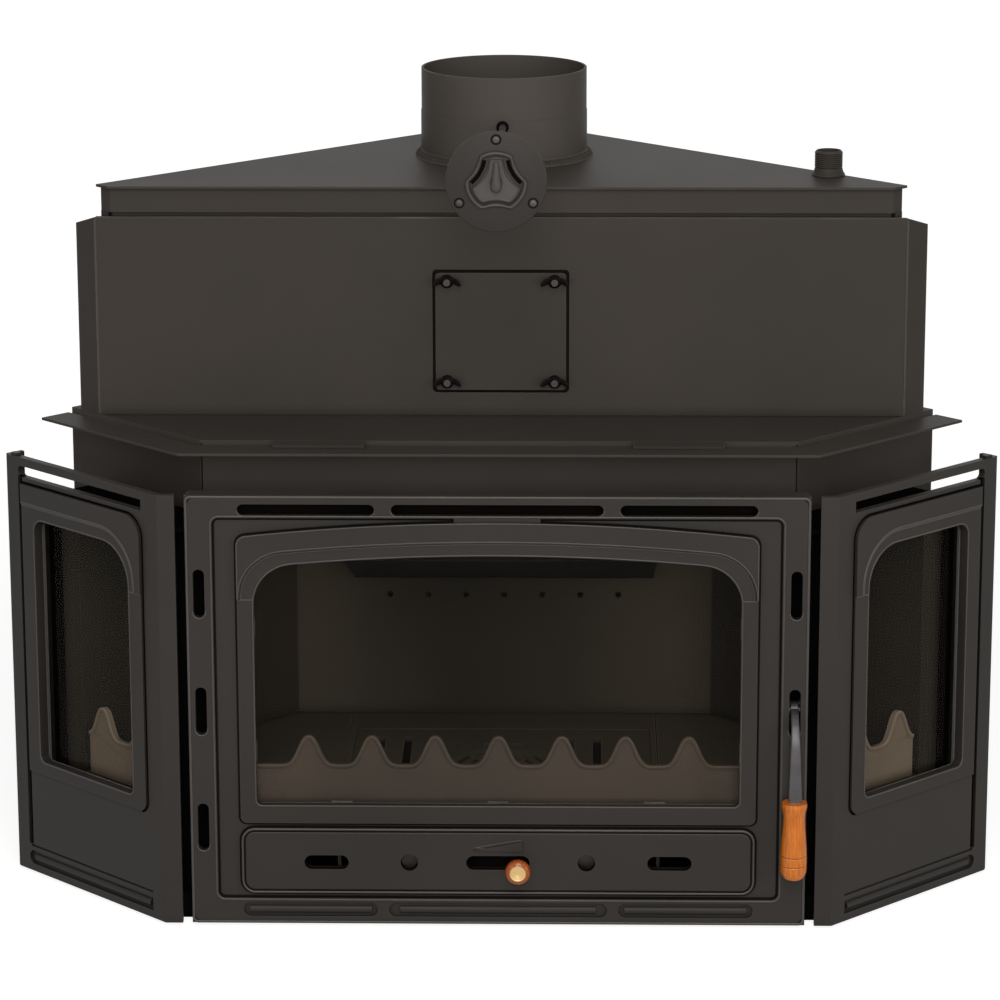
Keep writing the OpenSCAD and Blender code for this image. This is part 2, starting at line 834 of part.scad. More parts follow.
module round_grate() {
  pitch = (ring_r - 16) / ring_count;
  color(iron) translate([0, ring_y, hearth_low]) linear_extrude(hearth_t - 2) {
    for (i = [1:ring_count]) difference() {
      circle(16 + i * pitch);
      circle(16 + i * pitch - ring_bar);
    }
    circle(12);
    intersection() {
      circle(ring_r - 1);
      for (a = [45, 135]) rotate(a) square([2 * ring_r, ring_bar], center = true);
    }
  }
}
baffle_seat = 3;
// Sloping smoke baffle: its rear edge sits in the lining, two straps hold its front.
module baffle() {
  strap_y = lining_y + baffle_seat - (baffle_len - 10) * cos(baffle_slope);
  strap_z = baffle_z + (baffle_len - 10) * sin(baffle_slope);
  color(iron) {
    translate([0, lining_y + baffle_seat, baffle_z])
      rotate([-baffle_slope, 0, 0])
        translate([-baffle_half, -baffle_len, 0])
          cube([2 * baffle_half, baffle_len, baffle_t]);
    for (x = [-baffle_half + 30, baffle_half - 60])
      translate([x, strap_y, strap_z + baffle_t / 2])
        cube([30, 5, casing_h - cover_t - strap_z - baffle_t / 2]);
  }
}
// Wavy top edge: round humps with wide troughs between them.
function wave(x) = guard_hump * pow(0.5 + 0.5 * cos(360 * x / guard_pitch), 1.5);
guard_foot = 2;
function guard_outline(from, to, centre, first, last) =
  concat([[to, 0], [from, 0]],
    [for (x = [from:(to - from) / 90:to + eps])
      [x, guard_trough + (x > first - guard_pitch / 2 && x < last + guard_pitch / 2
        ? wave(x - centre) : 0)]]);
module front_log_guard() {
  last = (guard_humps - 1) / 2 * guard_pitch;
  color(iron) translate([0, door_y, hearth_z]) {
    upright(guard_d, guard_d + guard_t)
      polygon(guard_outline(-guard_half, guard_half, 0, -last, last));
    upright(guard_d, guard_d + guard_t + guard_foot)
      translate([-guard_half, 0]) square([2 * guard_half, 6]);
  }
}
module side_log_guards() {
  first = guard_side_s - guard_pitch;
  color(iron) both_sides(hearth_z) {
    upright(guard_d, guard_d + guard_t)
      polygon(guard_outline(side_win_from - 4, lining_s - 6, guard_side_s, first, guard_side_s));
    upright(guard_d, guard_d + guard_t + guard_foot)
      translate([side_win_from - 4, 0]) square([lining_s - side_win_from - 2, 6]);
  }
}
module ash_pan() {
  low = throat_low + throat_t;
  front = door_y + hearth_front + 20;
  color([0.2, 0.2, 0.2]) {
    difference() {
      translate([-pan_half, front, low]) cube([2 * pan_half, pan_d, pan_h]);
      translate([-pan_half + pan_t, front + pan_t, low + pan_t])
        cube([2 * (pan_half - pan_t), pan_d - 2 * pan_t, pan_h]);
    }
    // Bent handle on the front of the pan
    for (x = [-30, 30])
      translate([x - 3, front - 12, low + pan_h - 18]) cube([6, 12, 4]);
    translate([-33, front - 16, low + pan_h - 18]) cube([66, 4, 4]);
  }
}

module boiler_front() {
  color(paint) difference() {
    wall(boiler_plan, boiler_in, 0, boiler_low, boiler_high);
    translate([0, -boiler_front_d, hatch_z])
      upright(-1, boiler_t + 1) hatch_outline(hatch_gap);
  }
}
module boiler_flanks() {
  color(paint) both() difference() {
    wall(boiler_plan, boiler_in, 1, boiler_low, boiler_high);
    // Slanting top edge
    translate([boiler_half, -boiler_front_d, 0]) rotate([0, 0, side_angle])
      upright(-1, 2 * boiler_t)
        polygon([[-boiler_t, boiler_high], [0, boiler_high], [flank_len, shoulder_z],
          [flank_len + 1, shoulder_z], [flank_len + 1, boiler_high + 1],
          [-boiler_t, boiler_high + 1]]);
  }
}
module boiler_back_panels() {
  color(paint) both() wall(boiler_plan, boiler_in, 2, boiler_low, shoulder_z);
}
module boiler_rear() {
  color(paint) wall(boiler_plan, boiler_in, 3, boiler_low, shoulder_z);
}
chamber_gap = boiler_t + water_gap;
chamber_half = boiler_half - water_side;
chamber_front = -boiler_front_d + chamber_gap;
chamber_rear = boiler_back - chamber_gap;
chamber_sum = boiler_plan[2][0] + boiler_plan[2][1] - chamber_gap * sqrt(2);
function chamber(d) =
  let (half = chamber_half - d, front = chamber_front + d)
  let (rear = chamber_rear - d, sum = chamber_sum - d * sqrt(2))
  [[-half, front], [half, front], [half, sum - half], [sum - rear, rear],
  [rear - sum, rear], [-half, sum - half]];
// Inner walls of the boiler, the sleeve that joins the hatch to them and its front frame.
module chamber_walls() {
  color(paint) difference() {
    union() {
      difference() {
        prism(chamber(0), boiler_low, shoulder_z - boiler_t);
        prism(chamber(boiler_t), boiler_low - 1, shoulder_z);
      }
      translate([-hatch_hole_w / 2 - 3, -boiler_front_d + boiler_t, hatch_z - hatch_hole_h / 2 - 3])
        cube([hatch_hole_w + 6, water_gap, hatch_hole_h + 6]);
      translate([0, hatch_y, hatch_z])
        upright(0, boiler_t) hatch_outline(hatch_gap + hatch_land);
    }
    at_studs() translate([0, -1, 0])
      rotate([-90, 0, 0]) cylinder(r = stud_r + run_gap, h = boiler_t + 2, $fn = 48);
    translate([-hatch_hole_w / 2, -boiler_front_d, hatch_z - hatch_hole_h / 2])
      cube([hatch_hole_w, chamber_gap + 2 * boiler_t, hatch_hole_h]);
  }
}
// Water tubes that cross the smoke chamber from side to side.
module exchanger_tubes() {
  span = chamber_half - boiler_t;
  rise = (shoulder_z - boiler_low - 70) / (tube_count - 1);
  color(paint)
    for (i = [0:tube_count - 1])
      translate([-span, chamber_front + chamber_gap, boiler_low + 32 + i * rise])
        rotate([0, 90, 0]) cylinder(r = tube_r * 0.8, h = 2 * span, $fn = 48);
}
top_plan = plan(top_half, -boiler_front_d - top_out, top_flank, boiler_back);
top_box_plan = inset(top_half, -boiler_front_d - top_out, top_flank, boiler_back, top_over);
neck_plan = inset(top_half, -boiler_front_d - top_out, top_flank, boiler_back, top_over + neck_in);
hollow_plan = inset(top_half, -boiler_front_d - top_out, top_flank, boiler_back,
  top_over + neck_in + top_t);
// Boiler lid with the neck and the shallow box that stand on it.
module top_box() {
  color(paint) difference() {
    union() {
      prism(boiler_in, shoulder_z - boiler_t, shoulder_z);
      prism(neck_plan, shoulder_z - eps, boiler_high + neck_h + eps);
      prism(top_box_plan, boiler_high + neck_h, top_z - top_t);
    }
    prism(hollow_plan, shoulder_z, top_z);
    translate([0, 0, shoulder_z - 2 * boiler_t])
      cylinder(r = flue_r - flue_t, h = 3 * boiler_t);
  }
}
module top_plate() {
  color(paint) difference() {
    prism(top_plan, top_z - top_t, top_z);
    translate([0, 0, top_z - top_t - 1])
      cylinder(r = flue_r - flue_t, h = top_t + 2);
    translate([supply_x, -supply_y, top_z - top_t - 1])
      cylinder(r = nipple_r - nipple_t, h = top_t + 2);
  }
}
// Collar with its weld: the pipe slides over its sized end, down to just above the rod.
module flue_collar() {
  body_r = flue_r + flue_step;
  seat = flue_h - flue_seat;
  color(paint) translate([0, 0, top_z]) difference() {
    rotate_extrude()
      polygon([[flue_r - flue_t, 0], [flue_r + weld_w, 0], [flue_r + weld_w - 1, 2],
        [flue_r + 2, 5], [body_r, 9], [body_r, seat - flue_step], [flue_r, seat],
        [flue_r, flue_h], [flue_r - flue_t, flue_h]]);
    translate([0, 0, rod_z])
      rotate([90, 0, 0])
        cylinder(r = rod_r + run_gap, h = 2 * flue_r + 40, center = true);
  }
}
// Threaded nipple on a welded boss.
module nipple(h) {
  difference() {
    union() {
      cylinder(r = nipple_r, h = h);
      rotate_extrude()
        polygon([[0, 0], [nipple_r + 6, 0], [nipple_r + 5, 3], [nipple_r + 1, 7], [0, 7]]);
    }
    translate([0, 0, -1]) cylinder(r = nipple_r - nipple_t, h = h + 2);
  }
}
module supply_nipple() {
  color(paint) translate([supply_x, -supply_y, top_z]) nipple(nipple_h);
}
module return_nipple() {
  color(paint) translate([return_x, casing_back, return_z])
    rotate([-90, 0, 0]) nipple(nipple_h);
}

gasket_t = 2;
gasket_in = 3;
hatch_y = -boiler_front_d + boiler_t;
module hatch_outline(grow) {
  round_rect(-hatch_w / 2 - grow, hatch_w / 2 + grow, -hatch_h / 2 - grow, hatch_h / 2 + grow, 5);
}
module hatch_plate(grow, t, hole) {
  difference() {
    upright(0, t) hatch_outline(grow);
    for (x = [-stud_dx / 2, stud_dx / 2], z = [-stud_dz / 2, stud_dz / 2])
      translate([x, -1, z])
        rotate([-90, 0, 0]) cylinder(r = hole, h = t + 2, $fn = 48);
  }
}
module hatch_cover() {
  color(iron) translate([0, hatch_y - gasket_t - hatch_t, hatch_z])
    hatch_plate(0, hatch_t, stud_r + run_gap);
}
module hatch_gasket() {
  color([0.55, 0.53, 0.5]) translate([0, hatch_y - gasket_t, hatch_z])
    difference() {
      hatch_plate(-gasket_in, gasket_t, stud_r + run_gap);
      translate([-hatch_hole_w / 2, -1, -hatch_hole_h / 2])
        cube([hatch_hole_w, gasket_t + 2, hatch_hole_h]);
    }
}
nut_h = 5;
module at_studs() {
  for (x = [-stud_dx / 2, stud_dx / 2], z = [-stud_dz / 2, stud_dz / 2])
    translate([x, hatch_y, hatch_z + z]) children();
}
module hatch_studs() {
  stud_out = gasket_t + hatch_t + nut_h + 6;
  color([0.4, 0.38, 0.36]) at_studs()
    translate([0, boiler_t, 0]) rotate([90, 0, 0])
      cylinder(r = stud_r, h = boiler_t + stud_out, $fn = 48);
}
// Wing nut: a collar with two upswept wings.
module wing_nut() {
  difference() {
    union() {
      cylinder(r1 = 8, r2 = 6, h = nut_h, $fn = 48);
      for (side = [-1, 1])
        translate([0, 1.5, 0]) rotate([90, 0, 0]) linear_extrude(3)
          polygon([[side * 4, 0], [side * 8, 0], [side * 17, 6],
            [side * 17, 11], [side * 12, 11], [side * 4, nut_h]]);
    }
    translate([0, 0, -1]) cylinder(r = stud_r + run_gap, h = nut_h + 12, $fn = 48);
  }
}
module hatch_wing_nuts() {
  color([0.4, 0.38, 0.36]) at_studs()
    translate([0, -gasket_t - hatch_t, 0]) rotate([90, 0, 0]) wing_nut();
}

rosette_y = door_y - rosette_out;
lever_t = 4;
rod_end = 5;
lever_gap = 0.6;
boss_out = 1;
lever_y = rosette_y - rosette_t - trefoil_proud - lever_gap - lever_t;
module trefoil(grow) {
  difference() {
    circle(trefoil_r + grow);
    for (a = [30, 150, 270])
      rotate(a) translate([trefoil_d, 0]) circle(trefoil_cut - grow);
  }
}
module rosette_plate() {
  color(iron) translate([0, rosette_y, rod_height]) difference() {
    union() {
      upright(-rosette_t, 0) circle(rosette_r);
      upright(-rosette_t - trefoil_proud, -rosette_t + eps) difference() {
        trefoil(0);
        trefoil(-trefoil_rim);
      }
      upright(-rosette_t - boss_out, 4) circle(rod_r + 5);
    }
    for (a = [90, 210, 330])
      translate([rosette_pcr * cos(a), 0, rosette_pcr * sin(a)])
        rotate([90, 0, 0]) cylinder(r = rosette_hole_r, h = 30, center = true, $fn = 48);
    rotate([90, 0, 0]) cylinder(r = rod_r + run_gap, h = 60, center = true);
    // Vent slots along the two upper hollow sides
    upright(-rosette_t - 1, 1) intersection() {
      circle(trefoil_r - trefoil_rim - 3);
      for (a = [30, 150]) rotate(a) translate([trefoil_d, 0]) difference() {
        circle(trefoil_cut + trefoil_rim + 5, $fn = 64);
        circle(trefoil_cut + trefoil_rim + 1, $fn = 64);
      }
    }
  }
}
module damper_rod() {
  front = lever_y + lever_t / 2;
  color([0.45, 0.43, 0.4]) translate([0, front, rod_height])
    rotate([-90, 0, 0]) cylinder(r = rod_r, h = flue_r + rod_end - front);
}
module damper_disc() {
  color(iron) translate([0, 0, rod_height]) difference() {
    union() {
      translate([0, 0, -disc_t / 2]) cylinder(r = flue_r - flue_t - disc_gap, h = disc_t);
      for (y = [-60, 30])
        translate([0, y, 0]) rotate([-90, 0, 0]) cylinder(r = rod_r + 4, h = 30);
    }
    rotate([90, 0, 0]) cylinder(r = rod_r, h = 3 * flue_r, center = true);
  }
}
// Teardrop lever on the front end of the damper rod.
module damper_lever() {
  color(iron) translate([0, lever_y, rod_height]) difference() {
    union() {
      upright(0, lever_t) {
        translate([0, -lever_down + lever_r]) circle(lever_r, $fn = 64);
        polygon(concat([[-lever_r, -lever_down + lever_r], [-2.5, lever_up - 3]],
          arc(0, lever_up - 3, 2.5, 180, 0, 8), [[lever_r, -lever_down + lever_r]]));
      }
      upright(0, lever_t + lever_gap + trefoil_proud - boss_out - seat_gap)
        circle(lever_r, $fn = 64);
    }
    translate([0, lever_t / 2, 0])
      rotate([-90, 0, 0]) cylinder(r = rod_r, h = rosette_out + lever_t);
  }
}

module trim_flange() {
  outer = behind(flange_d, flange_s, casing_back);
  inner = behind(flange_d + flange_w, flange_s, casing_back);
  color(paint) prism(band(outer, inner), casing_h - cover_t - flange_t, casing_h - cover_t);
}
module flange_tabs() {
  front = door_y + flange_d + flange_w - tab_l / 3;
  color(paint) both()
    translate([tab_x - tab_w / 2, front, casing_h - cover_t])
      cube([tab_w, door_y + casing_d - front, cover_t]);
}

// Arched window or hood outline of the door, symmetric about its middle.
module arch2d(half, low, crown, r) {
  right = arch_right(half, low, crown, r);
  polygon(concat(right, mirrored(right)));
}
module door_window() {
  intersection() {
    arch2d(window_half, window_low, window_crown, window_r);
    round_rect(-window_half, window_half, window_low, casting_h, window_low_r);
  }
}
module hood_outline() {
  arch2d(frame_half, hood_foot, hood_crown, hood_r);
}
hood_edge = 1.5;
module hood_inner() {
  arch2d(frame_half - hood_edge, frame_low, window_crown + hood_inset, window_r + 8);
}
module air_openings() {
  for (side = [-1, 1]) {
    a = side * air_slot_from;
    b = side * (air_slot_from + air_slot_len);
    slot(min(a, b), max(a, b), air_z - air_slot_w / 2, air_z + air_slot_w / 2);
    translate([side * air_hole_x, air_z]) circle(air_hole_d / 2, $fn = 48);
  }
}
module upright_slots() {
  for (side = [-1, 1], i = [0:2]) {
    z = slot_side_low + i * slot_side_pitch;
    slot(side * slot_side_x - slot_w / 2, side * slot_side_x + slot_w / 2,
      z - slot_side_len / 2, z + slot_side_len / 2);
  }
}
module top_slots() {
  slot(-slot_mid_half, slot_mid_half, slot_top_z - slot_w / 2, slot_top_z + slot_w / 2);
  slot(slot_out_from, slot_out_to, slot_top_z - slot_w / 2, slot_top_z + slot_w / 2);
  slot(-slot_out_to, -slot_out_from, slot_top_z - slot_w / 2, slot_top_z + slot_w / 2);
}
module foot_grooves() {
  z0 = groove_z - groove_w / 2;
  z1 = groove_z + groove_w / 2;
  slot(-slot_mid_half - 6, slot_mid_half + 6, z0, z1);
  slot(slot_out_from, slot_out_to, z0, z1);
  slot(-slot_out_to, -slot_out_from, z0, z1);
}
module frame_ring(x0, x1, z0, z1, r, w) {
  difference() {
    round_rect(x0, x1, z0, z1, r);
    round_rect(x0 + w, x1 - w, z0 + w, z1 - w, max(r - w, 1));
  }
}
rib_w = rope_d + 4;
frame_r = 8;
air_step = 1;
wedge_half = 28;
lug_z = [hinge_low_z, hinge_high_z];
lug_t = 7;
lug_gap = 3;
pin_x = slot_side_x - slot_w / 2 - lug_gap - lug_t;
pin_l = slot_w + 2 * lug_t + lug_gap;
module door_casting() {
  e = edge_step_w;
  rope_back = throat_d - seat_gap;
  color(iron) door_place() difference() {
    union() {
      difference() {
        union() {
          upright(edge_step_d, casting_t)
            translate([-door_half, 0]) square([2 * door_half, casting_h]);
          upright(0, edge_step_d)
            round_rect(-door_half + e, door_half - e, e, casting_h - e, border_r);
        }
        upright(-1, panel_d)
          round_rect(-border_half, border_half, border_low, border_high, border_r);
      }
      // Rim round the back
      difference() {
        upright(casting_t, door_rim_d)
          frame_ring(-door_half, door_half, 0, casting_h, rim_t, rim_t);
        for (z = lug_z)
          translate([-door_half - 1, casting_t, z - bracket_t - 6])
            cube([rim_t + 2, door_rim_d, hinge_lug_h + bracket_t + 10]);
      }
      // Raised window frame, hood with its land to the border, and air panel
      upright(panel_d - frame_proud, panel_d) {
        round_rect(-frame_half, frame_half, frame_low, hood_foot + 20, frame_r);
        translate([-frame_half, frame_low + 20])
          square([2 * frame_half, hood_foot - frame_low]);
        hood_outline();
      }
      upright(panel_d - hood_proud, panel_d) difference() {
        hood_outline();
        hood_inner();
      }
      upright(0, panel_d)
        translate([-hood_land_half, hood_crown - 2])
          square([2 * hood_land_half, border_high - hood_crown + 3]);
      upright(panel_d - air_proud, panel_d)
        round_rect(-air_half, air_half, air_low, air_high, air_r);
      upright(panel_d - air_proud - air_step, panel_d - air_proud)
        round_rect(-air_half + air_edge_w, air_half - air_edge_w,
          air_low + air_edge_w, air_high - air_edge_w, air_r - air_edge_w);
      // Wedge over the knob's slot that shows which way opens the air
      upright(panel_d - air_proud - air_step - 2, panel_d)
        polygon([[-wedge_half, air_z + 15.5], [wedge_half, air_z + 14], [wedge_half, air_z + 26]]);
      // Rib that carries the rope seal
      upright(casting_t, rope_back - rope_d)
        frame_ring(-rope_half - rib_w / 2, rope_half + rib_w / 2,
          rope_low - rib_w / 2, rope_high + rib_w / 2, rib_w, rib_w);
      // Rails that the air slide runs in
      for (side = [-1, 1]) {
        rail = air_z + side * (slide_z / 2 + seat_gap);
        translate([-rope_half + 16, casting_t, rail - (side < 0 ? 4 : 0)])
          cube([2 * rope_half - 32, slide_t + 4, 4]);
        translate([-rope_half + 16, casting_t + slide_t + 2 * seat_gap, rail - (side < 0 ? 0 : 3)])
          cube([2 * rope_half - 32, 4 - 2 * seat_gap, 3]);
      }
      // Hinge lugs
      for (z = lug_z)
        translate([-door_half + hinge_in, hinge_depth, z]) {
          cylinder(r = hinge_lug_r, h = hinge_lug_h);
          translate([-hinge_lug_r, -hinge_depth + casting_t - eps, 0])
            cube([2 * hinge_lug_r, hinge_depth - casting_t, hinge_lug_h]);
        }
      // Lugs that hold the latch pin
      for (x = [pin_x, door_half - rim_t - 1])
        translate([x, casting_t - eps, latch_z - 9])
          cube([lug_t, latch_depth + 6 - casting_t, 18]);
    }
    upright(-10, casting_t + 1) {
      door_window();
      top_slots();
      upright_slots();
      air_openings();
      slot(-knob_slot_half, knob_slot_half, air_z - air_slot_w / 2, air_z + air_slot_w / 2);
    }
    upright(-1, groove_d) foot_grooves();
    for (z = lug_z)
      translate([-door_half + hinge_in, hinge_depth, z - 1])
        cylinder(r = hinge_pin_r + run_gap, h = hinge_lug_h + 2);
    translate([pin_x - 1, latch_depth, latch_z])
      rotate([0, 90, 0]) cylinder(r = latch_pin_r, h = pin_l + 1);
  }
}
slide_z = 34;
module door_glass() {
  color([0.75, 0.85, 0.85, 0.35]) door_place()
    translate([-window_half - glass_lap, glass_y, window_low - glass_lap])
      cube([2 * (window_half + glass_lap), glass_t, window_crown - window_low + 2 * glass_lap]);
}
module door_glass_seal() {
  color([0.3, 0.29, 0.28]) door_place()
    upright(casting_t, glass_y)
      frame_ring(-window_half - glass_lap, window_half + glass_lap,
        window_low - glass_lap, window_crown + glass_lap, glass_lap, seal_w - 1);
}
clip_w = 24;
clip_x = 180;
// Sheet clips that press the glass on its seal.
module glass_clips() {
  reach = window_half + glass_lap;
  back = glass_y + glass_t;
  color([0.5, 0.5, 0.5]) door_place() {
    for (x = [-clip_x, 0, clip_x]) {
      translate([x - clip_w / 2, back, window_crown]) cube([clip_w, 2, glass_lap + 1]);
      translate([x - clip_w / 2, back, window_low - glass_lap - 12]) cube([clip_w, 2, 20]);
      translate([x - clip_w / 2, casting_t, window_low - glass_lap - 12])
        cube([clip_w, back - casting_t + 1, 11]);
    }
    for (side = [0, 1], z = [window_low + 60, window_crown - 90]) mirror([side, 0, 0]) {
      translate([reach - 8, back, z - clip_w / 2]) cube([19, 2, clip_w]);
      translate([reach + 1, casting_t, z - clip_w / 2])
        cube([10, back - casting_t + 1, clip_w]);
    }
  }
}
module door_rope_seal() {
  rope_back = throat_d - seat_gap;
  color([0.2, 0.2, 0.2]) door_place()
    upright(rope_back - rope_d, rope_back)
      frame_ring(-rope_half - rope_d / 2, rope_half + rope_d / 2,
        rope_low - rope_d / 2, rope_high + rope_d / 2, rope_d, rope_d);
}

side_pad_low = frame_low + 6;
side_pad_proud = 2.5;
side_line_s = side_pad_from - 6.5;
// The right side casting, its corner with the door at station 0.
module side_casting() {
  t = casting_t;
  k = side_return * cos(side_angle);
  e = edge_step_w;
  bend = t * half_turn;
  pad_l = side_groove_s - side_groove_w / 2 - side_pad_from;
  difference() {
    union() {
      linear_extrude(casting_h)
        polygon([[-k, k], [0, 0], [side_len - e, 0], [side_len - e, edge_step_d],
          [side_len, edge_step_d], [side_len, t], [bend, t],
          [-k + t * cos(side_angle), k + t * sin(side_angle)]]);
      // Rim along the outer end and round the throat
      translate([side_len - rim_t, t - eps, 0]) cube([rim_t, door_rim_d - t, casting_h]);
      upright(t - eps, throat_d)
        frame_ring(27, throat_end_s + throat_lip, throat_low - casting_lift + 1,
          throat_high - casting_lift - 1, 8, 8);
      // Pad with the round corner beside the door
      upright(-side_pad_proud, 0) {
        union() {
          translate([side_pad_from, side_pad_low + side_pad_low_r])
            square([pad_l, hood_crown - side_pad_low - side_pad_low_r - side_pad_r]);
          translate([side_pad_from + side_pad_low_r, side_pad_low])
            square([pad_l - side_pad_low_r, side_pad_low_r + 1]);
          translate([side_pad_from + side_pad_low_r, side_pad_low + side_pad_low_r])
            circle(side_pad_low_r, $fn = 48);
          translate([side_pad_from + side_pad_r, hood_crown - side_pad_r - 1])
            square([pad_l - side_pad_r, side_pad_r + 1]);
          translate([side_pad_from + side_pad_r, hood_crown - side_pad_r]) circle(side_pad_r);
        }
      }
      // Half hood that carries on the door's arch
      upright(panel_d - hood_proud - 1, 0) difference() {
        intersection() {
          translate([side_pad_from + side_pad_r, hood_crown - side_pad_r]) union() {
            circle(side_pad_r);
            translate([0, -side_pad_r]) square([side_len, side_pad_r * 2]);
            translate([-side_pad_r, -side_len]) square([side_len, side_len]);
          }
          translate([side_pad_from, hood_foot]) square([pad_l, side_len]);
        }
        side_hood_inner();
      }
      // Small lug on the top edge at the outer end
      translate([side_len - 20, edge_step_d, casting_h])
        cube([11, t - edge_step_d, 3]);
    }
    upright(-hood_proud - 1, t + 1) {
      side_window();
      slot(side_pad_from, side_slot_to, slot_top_z - slot_w / 2, slot_top_z + slot_w / 2);
      translate([side_pad_from, slot_top_z - slot_w / 2]) square(slot_w);
    }
    upright(-hood_proud - 1, side_groove_d)
      translate([side_groove_s - side_groove_w / 2, border_low + 3])
        square([side_groove_w, hood_crown + 9 - border_low - 3]);
    upright(-1, groove_d) {
      slot(side_line_s, side_slot_to, groove_z - groove_w / 2, groove_z + groove_w / 2);
      translate([side_line_s, groove_z - groove_w / 2]) square(groove_w);
    }
    upright(-1, side_line_d)
      translate([side_line_s, border_low])
        square([side_groove_s - side_line_s, side_line_w]);
  }
}
module side_hood_inner() {
  r = window_r + 14;
  crown = window_crown + hood_inset;
  translate([side_hood_from + r, crown - r]) circle(r);
  translate([side_hood_from, 0]) square([side_len, crown - r]);
  translate([side_hood_from + r, crown - r - 1]) square([side_len, r + 1]);
}
module side_window() {
  r = window_r;
  s = side_win_r;
  f = side_win_far_r;
  x0 = side_win_from;
  x1 = side_win_to;
  translate([x0 + r, window_crown - r]) circle(r);
  translate([x0, window_low + s]) square([x1 - x0, window_crown - window_low - r - s]);
  translate([x0 + r, window_crown - r - 1]) square([x1 - x0 - r - f, r + 1]);
  translate([x0 + s, window_low]) square([x1 - x0 - 2 * s, s + 1]);
  translate([x1 - r, window_crown - r - 1]) square([r, r + 1 - f]);
  translate([x1 - f, window_crown - f]) circle(f, $fn = 48);
  for (p = [[x0 + s, window_low + s], [x1 - s, window_low + s]])
    translate(p) circle(s, $fn = 48);
}
module side_casting_right() {
  color(iron) right_side(casting_lift) side_casting();
}
module side_casting_left() {
  color(iron) left_side(casting_lift) side_casting();
}
side_glass_lap = min(glass_lap, 5);
module side_glasses() {
  color([0.75, 0.85, 0.85, 0.35]) both_sides(casting_lift)
    translate([side_win_from - glass_lap, glass_y, window_low - glass_lap])
      cube([side_win_to - side_win_from + glass_lap + side_glass_lap, glass_t,
        window_crown - window_low + 2 * glass_lap]);
}
module side_glass_seals() {
  color([0.3, 0.29, 0.28]) both_sides(casting_lift)
    upright(casting_t, glass_y)
      frame_ring(side_win_from - glass_lap, side_win_to + side_glass_lap,
        window_low - glass_lap, window_crown + glass_lap, glass_lap, side_glass_lap - 1);
}

bracket_w = 26;
module hinge_brackets() {
  post_x = -post_in - post_land;
  color(paint)
    for (z = lug_z)
      translate([0, 0, casting_lift + z - seat_gap - bracket_t]) difference() {
        union() {
          translate([hinge_x, hinge_y, 0]) cylinder(r = hinge_lug_r, h = bracket_t);
          linear_extrude(bracket_t)
            polygon([[hinge_x - hinge_lug_r, hinge_y], [hinge_x + hinge_lug_r, hinge_y],
              [post_x, door_y + throat_d + 1], [post_x, door_y + throat_d + bracket_w],
              [hinge_x - hinge_lug_r + 1, door_y + throat_d + bracket_w - bracket_t]]);
        }
        translate([hinge_x, hinge_y, -1])
          cylinder(r = hinge_pin_r + run_gap, h = bracket_t + 2);
      }
}
module hinge_pins() {
  color([0.5, 0.5, 0.5])
    for (z = lug_z)
      translate([hinge_x, hinge_y, casting_lift + z - seat_gap - bracket_t - 4]) {
        cylinder(r = hinge_lug_r - 1.5, h = 4);
        cylinder(r = hinge_pin_r, h = bracket_t + hinge_lug_h + 2);
      }
}
// Cross pin on the corner post that the latch hooks behind.
keeper_y = door_y + 40;
module latch_keeper() {
  post_x = post_in + post_land;
  color([0.45, 0.43, 0.4]) translate([post_x, keeper_y, casting_lift + latch_z])
    rotate([0, 90, 0]) {
      cylinder(r = 4, h = slot_side_x + latch_w / 2 + 2 - post_x);
      translate([0, 0, slot_side_x + latch_w / 2 + 2 - post_x]) cylinder(r = 6, h = 3);
      cylinder(r = 7, h = 2);
    }
}
module latch_pin() {
  color([0.5, 0.5, 0.5]) translate([pin_x, latch_y, casting_lift + latch_z])
    rotate([0, 90, 0]) cylinder(r = latch_pin_r, h = pin_l);
}
// Lever: hub, neck through the slot, tapered shank and the hook behind the door.
module latch_lever() {
  w = latch_w;
  d = latch_depth + shank_reach;
  drop = latch_z - grip_top;
  color([0.2, 0.19, 0.18])
    translate([slot_side_x, latch_y, casting_lift + latch_z]) difference() {
      union() {
        rotate([0, 90, 0]) cylinder(r = latch_hub_r, h = w, center = true);
        translate([-w / 2, -d, -5]) cube([w, d, 10]);
        translate([0, -d, 0]) rotate([0, 90, 0]) cylinder(r = 5, h = w, center = true);
        upright(-d - shank_t / 2, -d + shank_t / 2)
          polygon([[-w / 2, 0], [w / 2, 0], [shank_w / 2, -drop + 4],
            [shank_w / 2, -drop - 1], [-shank_w / 2 + shank_lean, -drop - 1],
            [-shank_w / 2 + shank_lean, -drop + 4]]);
        // Hook
        translate([-w / 2, 0, 0]) rotate([90, 0, 90]) linear_extrude(w)
          polygon([[6, 6], [2, -8], [14, -22], [hook_end, -22],
            [hook_end, -5.2], [hook_end - 5, -5.2], [hook_end - 5, -12], [16, -12]]);
      }
      rotate([0, 90, 0]) cylinder(r = latch_pin_r + run_gap, h = 2 * w, center = true);
    }
}
hook_end = keeper_y - latch_y + 4 + 7;
shank_lean = 1.5;
grip_end_r = 10;
grip_foot = 14;
// Radius of the grip as a share of its largest, from the swell up to the collar.
function grip_swell(u) = 1 - 0.19 * (0.5 - 0.5 * cos(180 * u));
function grip_neck(u) = 0.81 + 0.14 * (0.5 - 0.5 * cos(180 * u));
